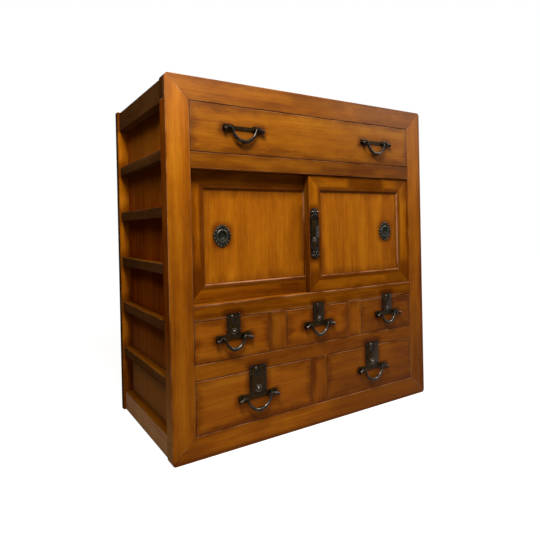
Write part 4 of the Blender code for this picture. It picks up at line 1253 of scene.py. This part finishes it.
def dress_ladder(node, seed):
    """Rear post, rails, battens and foot rail of one side: one solid, coloured by member and by the way each face
    looks.
    """
    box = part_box(node)
    low, high = box
    post_face = high.y - REAR_THICK - POST_MARGIN
    post_box = (Vector((low.x, post_face, low.z)), high)
    foot_top = low.z + SIDE_RAIL_HEIGHT + FOOT_MARGIN
    # Dark marks on the post: dirt and painted shade at the battens, and darker at its foot and head.
    post_marks = [(low.x, place, ALL_ACROSS, *POST_DIRT_AND_SHADE) for place in batten_places(box)]
    post_marks.append((low.x, low.z, ALL_ACROSS, *POST_FOOT_DARKENING))
    post_marks.append((low.x, high.z, ALL_ACROSS, SIDE_RAIL_HEIGHT, *POST_HEAD_DARKENING))
    # Lit and shaded copies of one wood: faces are coloured by the way they look, painted light and shade.
    looks = {"rails": (BROWN, "Y", 1.0, {}), "foot": (PALE, "Y", 1.1, {}), "ledge": (AMBER, "Y", 0.62, {}),
             "arris": (BROWN, "Y", 1.3, {"wear": LADDER_WEAR, "arris_only": True}),
             "post": (AMBER, "Z", 1.5, {"stains": post_marks}), "outside": (BROWN, "Z", 0.8, {})}
    order = list(looks)
    materials = []
    for name, (tones, grain, tone, extra) in looks.items():
        on_post = grain == "Z"
        shift = seed * (CROSS_SEED_STEP if on_post else SEED_STEP)
        materials.append(wood(node + "_" + name, tones, grain, post_box if on_post else box, shift,
                              0.3 if on_post else 0.15, tone, gloss=SIDE_GLOSS, **extra))

    def member(face):
        centre = face.calc_center_median()
        # The post's front is a bright amber, painted light; its outer flank dark, painted shade.
        if centre.y > post_face:
            return order.index("outside" if is_flank(face) else "post")
        # Top faces get a lit amber: painted light from above.
        if face.normal.z > SQUARE:
            return order.index("ledge")
        # The rails' side faces are dark brown, painted shade; the foot rail paler and greyer, a painted floor
        # reflection.
        return order.index("foot" if centre.z < foot_top else "rails")

    def upper_arris(face):
        # Upper arrises are worn and lighter: wear with a painted highlight from above.
        upper = face.normal.z > LEANING and abs(face.normal.x) > LEANING
        return order.index("arris") if upper and face.calc_center_median().y < post_face else None

    board(node, materials, member, upper_arris)


def dress_door_frame(side, seed, stains):
    """Level and upright members of a door have their own grain, and its outer flanks are dark, painted shade."""
    node = "door_" + side + "_frame"
    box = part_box(node)
    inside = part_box("door_" + side + "_panel")
    handled = stains_near(box, stains)
    shift = seed * SEED_STEP
    near = handled + stains_near(box, DOOR_UPRIGHT_SMUDGES)
    # Painted shade round the opening and a painted sheen; the uprights also a painted highlight on edges facing
    # left.
    upright = wood(node + "_uprights", AMBER, "Z", box, shift, 0.45, 1.12, near, DOOR_WEAR, DOOR_GLOSS,
                   inside, painted_sheen=True, painted_glint=DOOR_PAINTED_GLINTS[side])
    near = handled + stains_near(box, DOOR_RAIL_SMUDGES)
    level = wood(node + "_rails", AMBER, "X", box, seed * CROSS_SEED_STEP, 0.55, 0.98, near, DOOR_WEAR,
                 DOOR_GLOSS, inside, painted_sheen=True)
    # Outer flanks are dark: painted shade in the gap beside the door.
    flank = wood(node + "_flank", AMBER, "Z", box, shift, 0.3, 0.42, gloss=SIDE_GLOSS)
    add_door_frame(node, level, upright, flank)


def dress_wood():
    """Every wooden solid gets a board with its own grain; each row is nodes, tones, grain, halo and tone."""
    stains = front_stains()
    drawers = [node for node in NODES if node.endswith("_front")]
    trays = [node for node in NODES if node.endswith("_tray")]
    rows = [
        (["front_stile_left", "front_stile_right"], AMBER, "Z", 0.25, 1.12),
        (["front_top_rail", "front_bottom_rail"], AMBER, "X", 0.35, 0.95),
        (["upper_cross_rail", "door_sill_rail", "middle_cross_rail"], AMBER, "X", 0.45, 0.92),
        (["small_divider_left", "small_divider_right", "large_divider"], COPPER, "Z", 0.70, 0.94),
        (drawers, COPPER, "X", 0.68, 1.04),
        (["door_left_panel", "door_right_panel"], GOLD, "Z", 0.45, 1.34),
        (["side_panel_left", "side_panel_right"], RUSSET, "Z", 0.30, 1.32),
        (["rear_top_rail", "rear_bottom_rail"], BROWN, "X", 0.30, 1.9),
        (["back_panel"], PALE, "Z", 0.30, 0.62),
        (["top_board"], AMBER, "X", 0.30, 0.85),
        (["bottom_board", "middle_deck", "compartment_floor", "upper_deck"], BARE, "X", 0.20, 0.8),
        (trays, BARE, "Y", 0.20, 1.0),
    ]
    seed = 1
    for nodes, tones, grain, halo, tone in rows:
        for node in nodes:
            dress_board(node, tones, grain, halo, tone, seed, stains)
            seed += 1
    for side in ("left", "right"):
        dress_ladder("side_ladder_" + side, seed)
        dress_door_frame(side, seed + 1, stains)
        seed += 2


def seat_on(node):
    """Depth at which a fitting sits on the front of a node."""
    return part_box(node)[0].y - JOINT_GAP


def dress_iron():
    """Forged pieces in place of the plain solids of the fittings."""
    black, plate, worn, bright, pewter, patina = (iron(name) for name in IRONS)
    for joint in frame["joints"]:
        if joint["type"] != "hinge":
            continue
        bail = BODIES[joint["child"]][0]
        mount = bail.replace("bail", "handle_mount")
        pivot = Vector(joint["pos_m"])
        handle = SMALL_HANDLE if bail.startswith("small") else LARGE_HANDLE
        seat = seat_on(mount.split("_handle")[0] + "_front")
        add_bail(bail, pivot, handle, worn)
        add_mount(mount, pivot, handle, seat, plate, black)
    for node in list(NODES):
        if node.endswith("lock_plate") and "drawer" in node:
            add_drawer_lock(node, seat_on(node.replace("lock_plate", "front")), plate, worn, bright, black)
        elif node.endswith("lock_plate"):
            add_door_lock(node, seat_on(node.replace("lock_plate", "frame")), plate, bright, black)
        elif node.endswith("finger_pull"):
            add_pull(node, seat_on(node.replace("finger_pull", "panel")), pewter, patina, bright)


bpy.context.scene.view_settings.view_transform = "Standard"
add_camera()
add_room()
add_floor()
add_lamps()
dress_wood()
dress_iron()
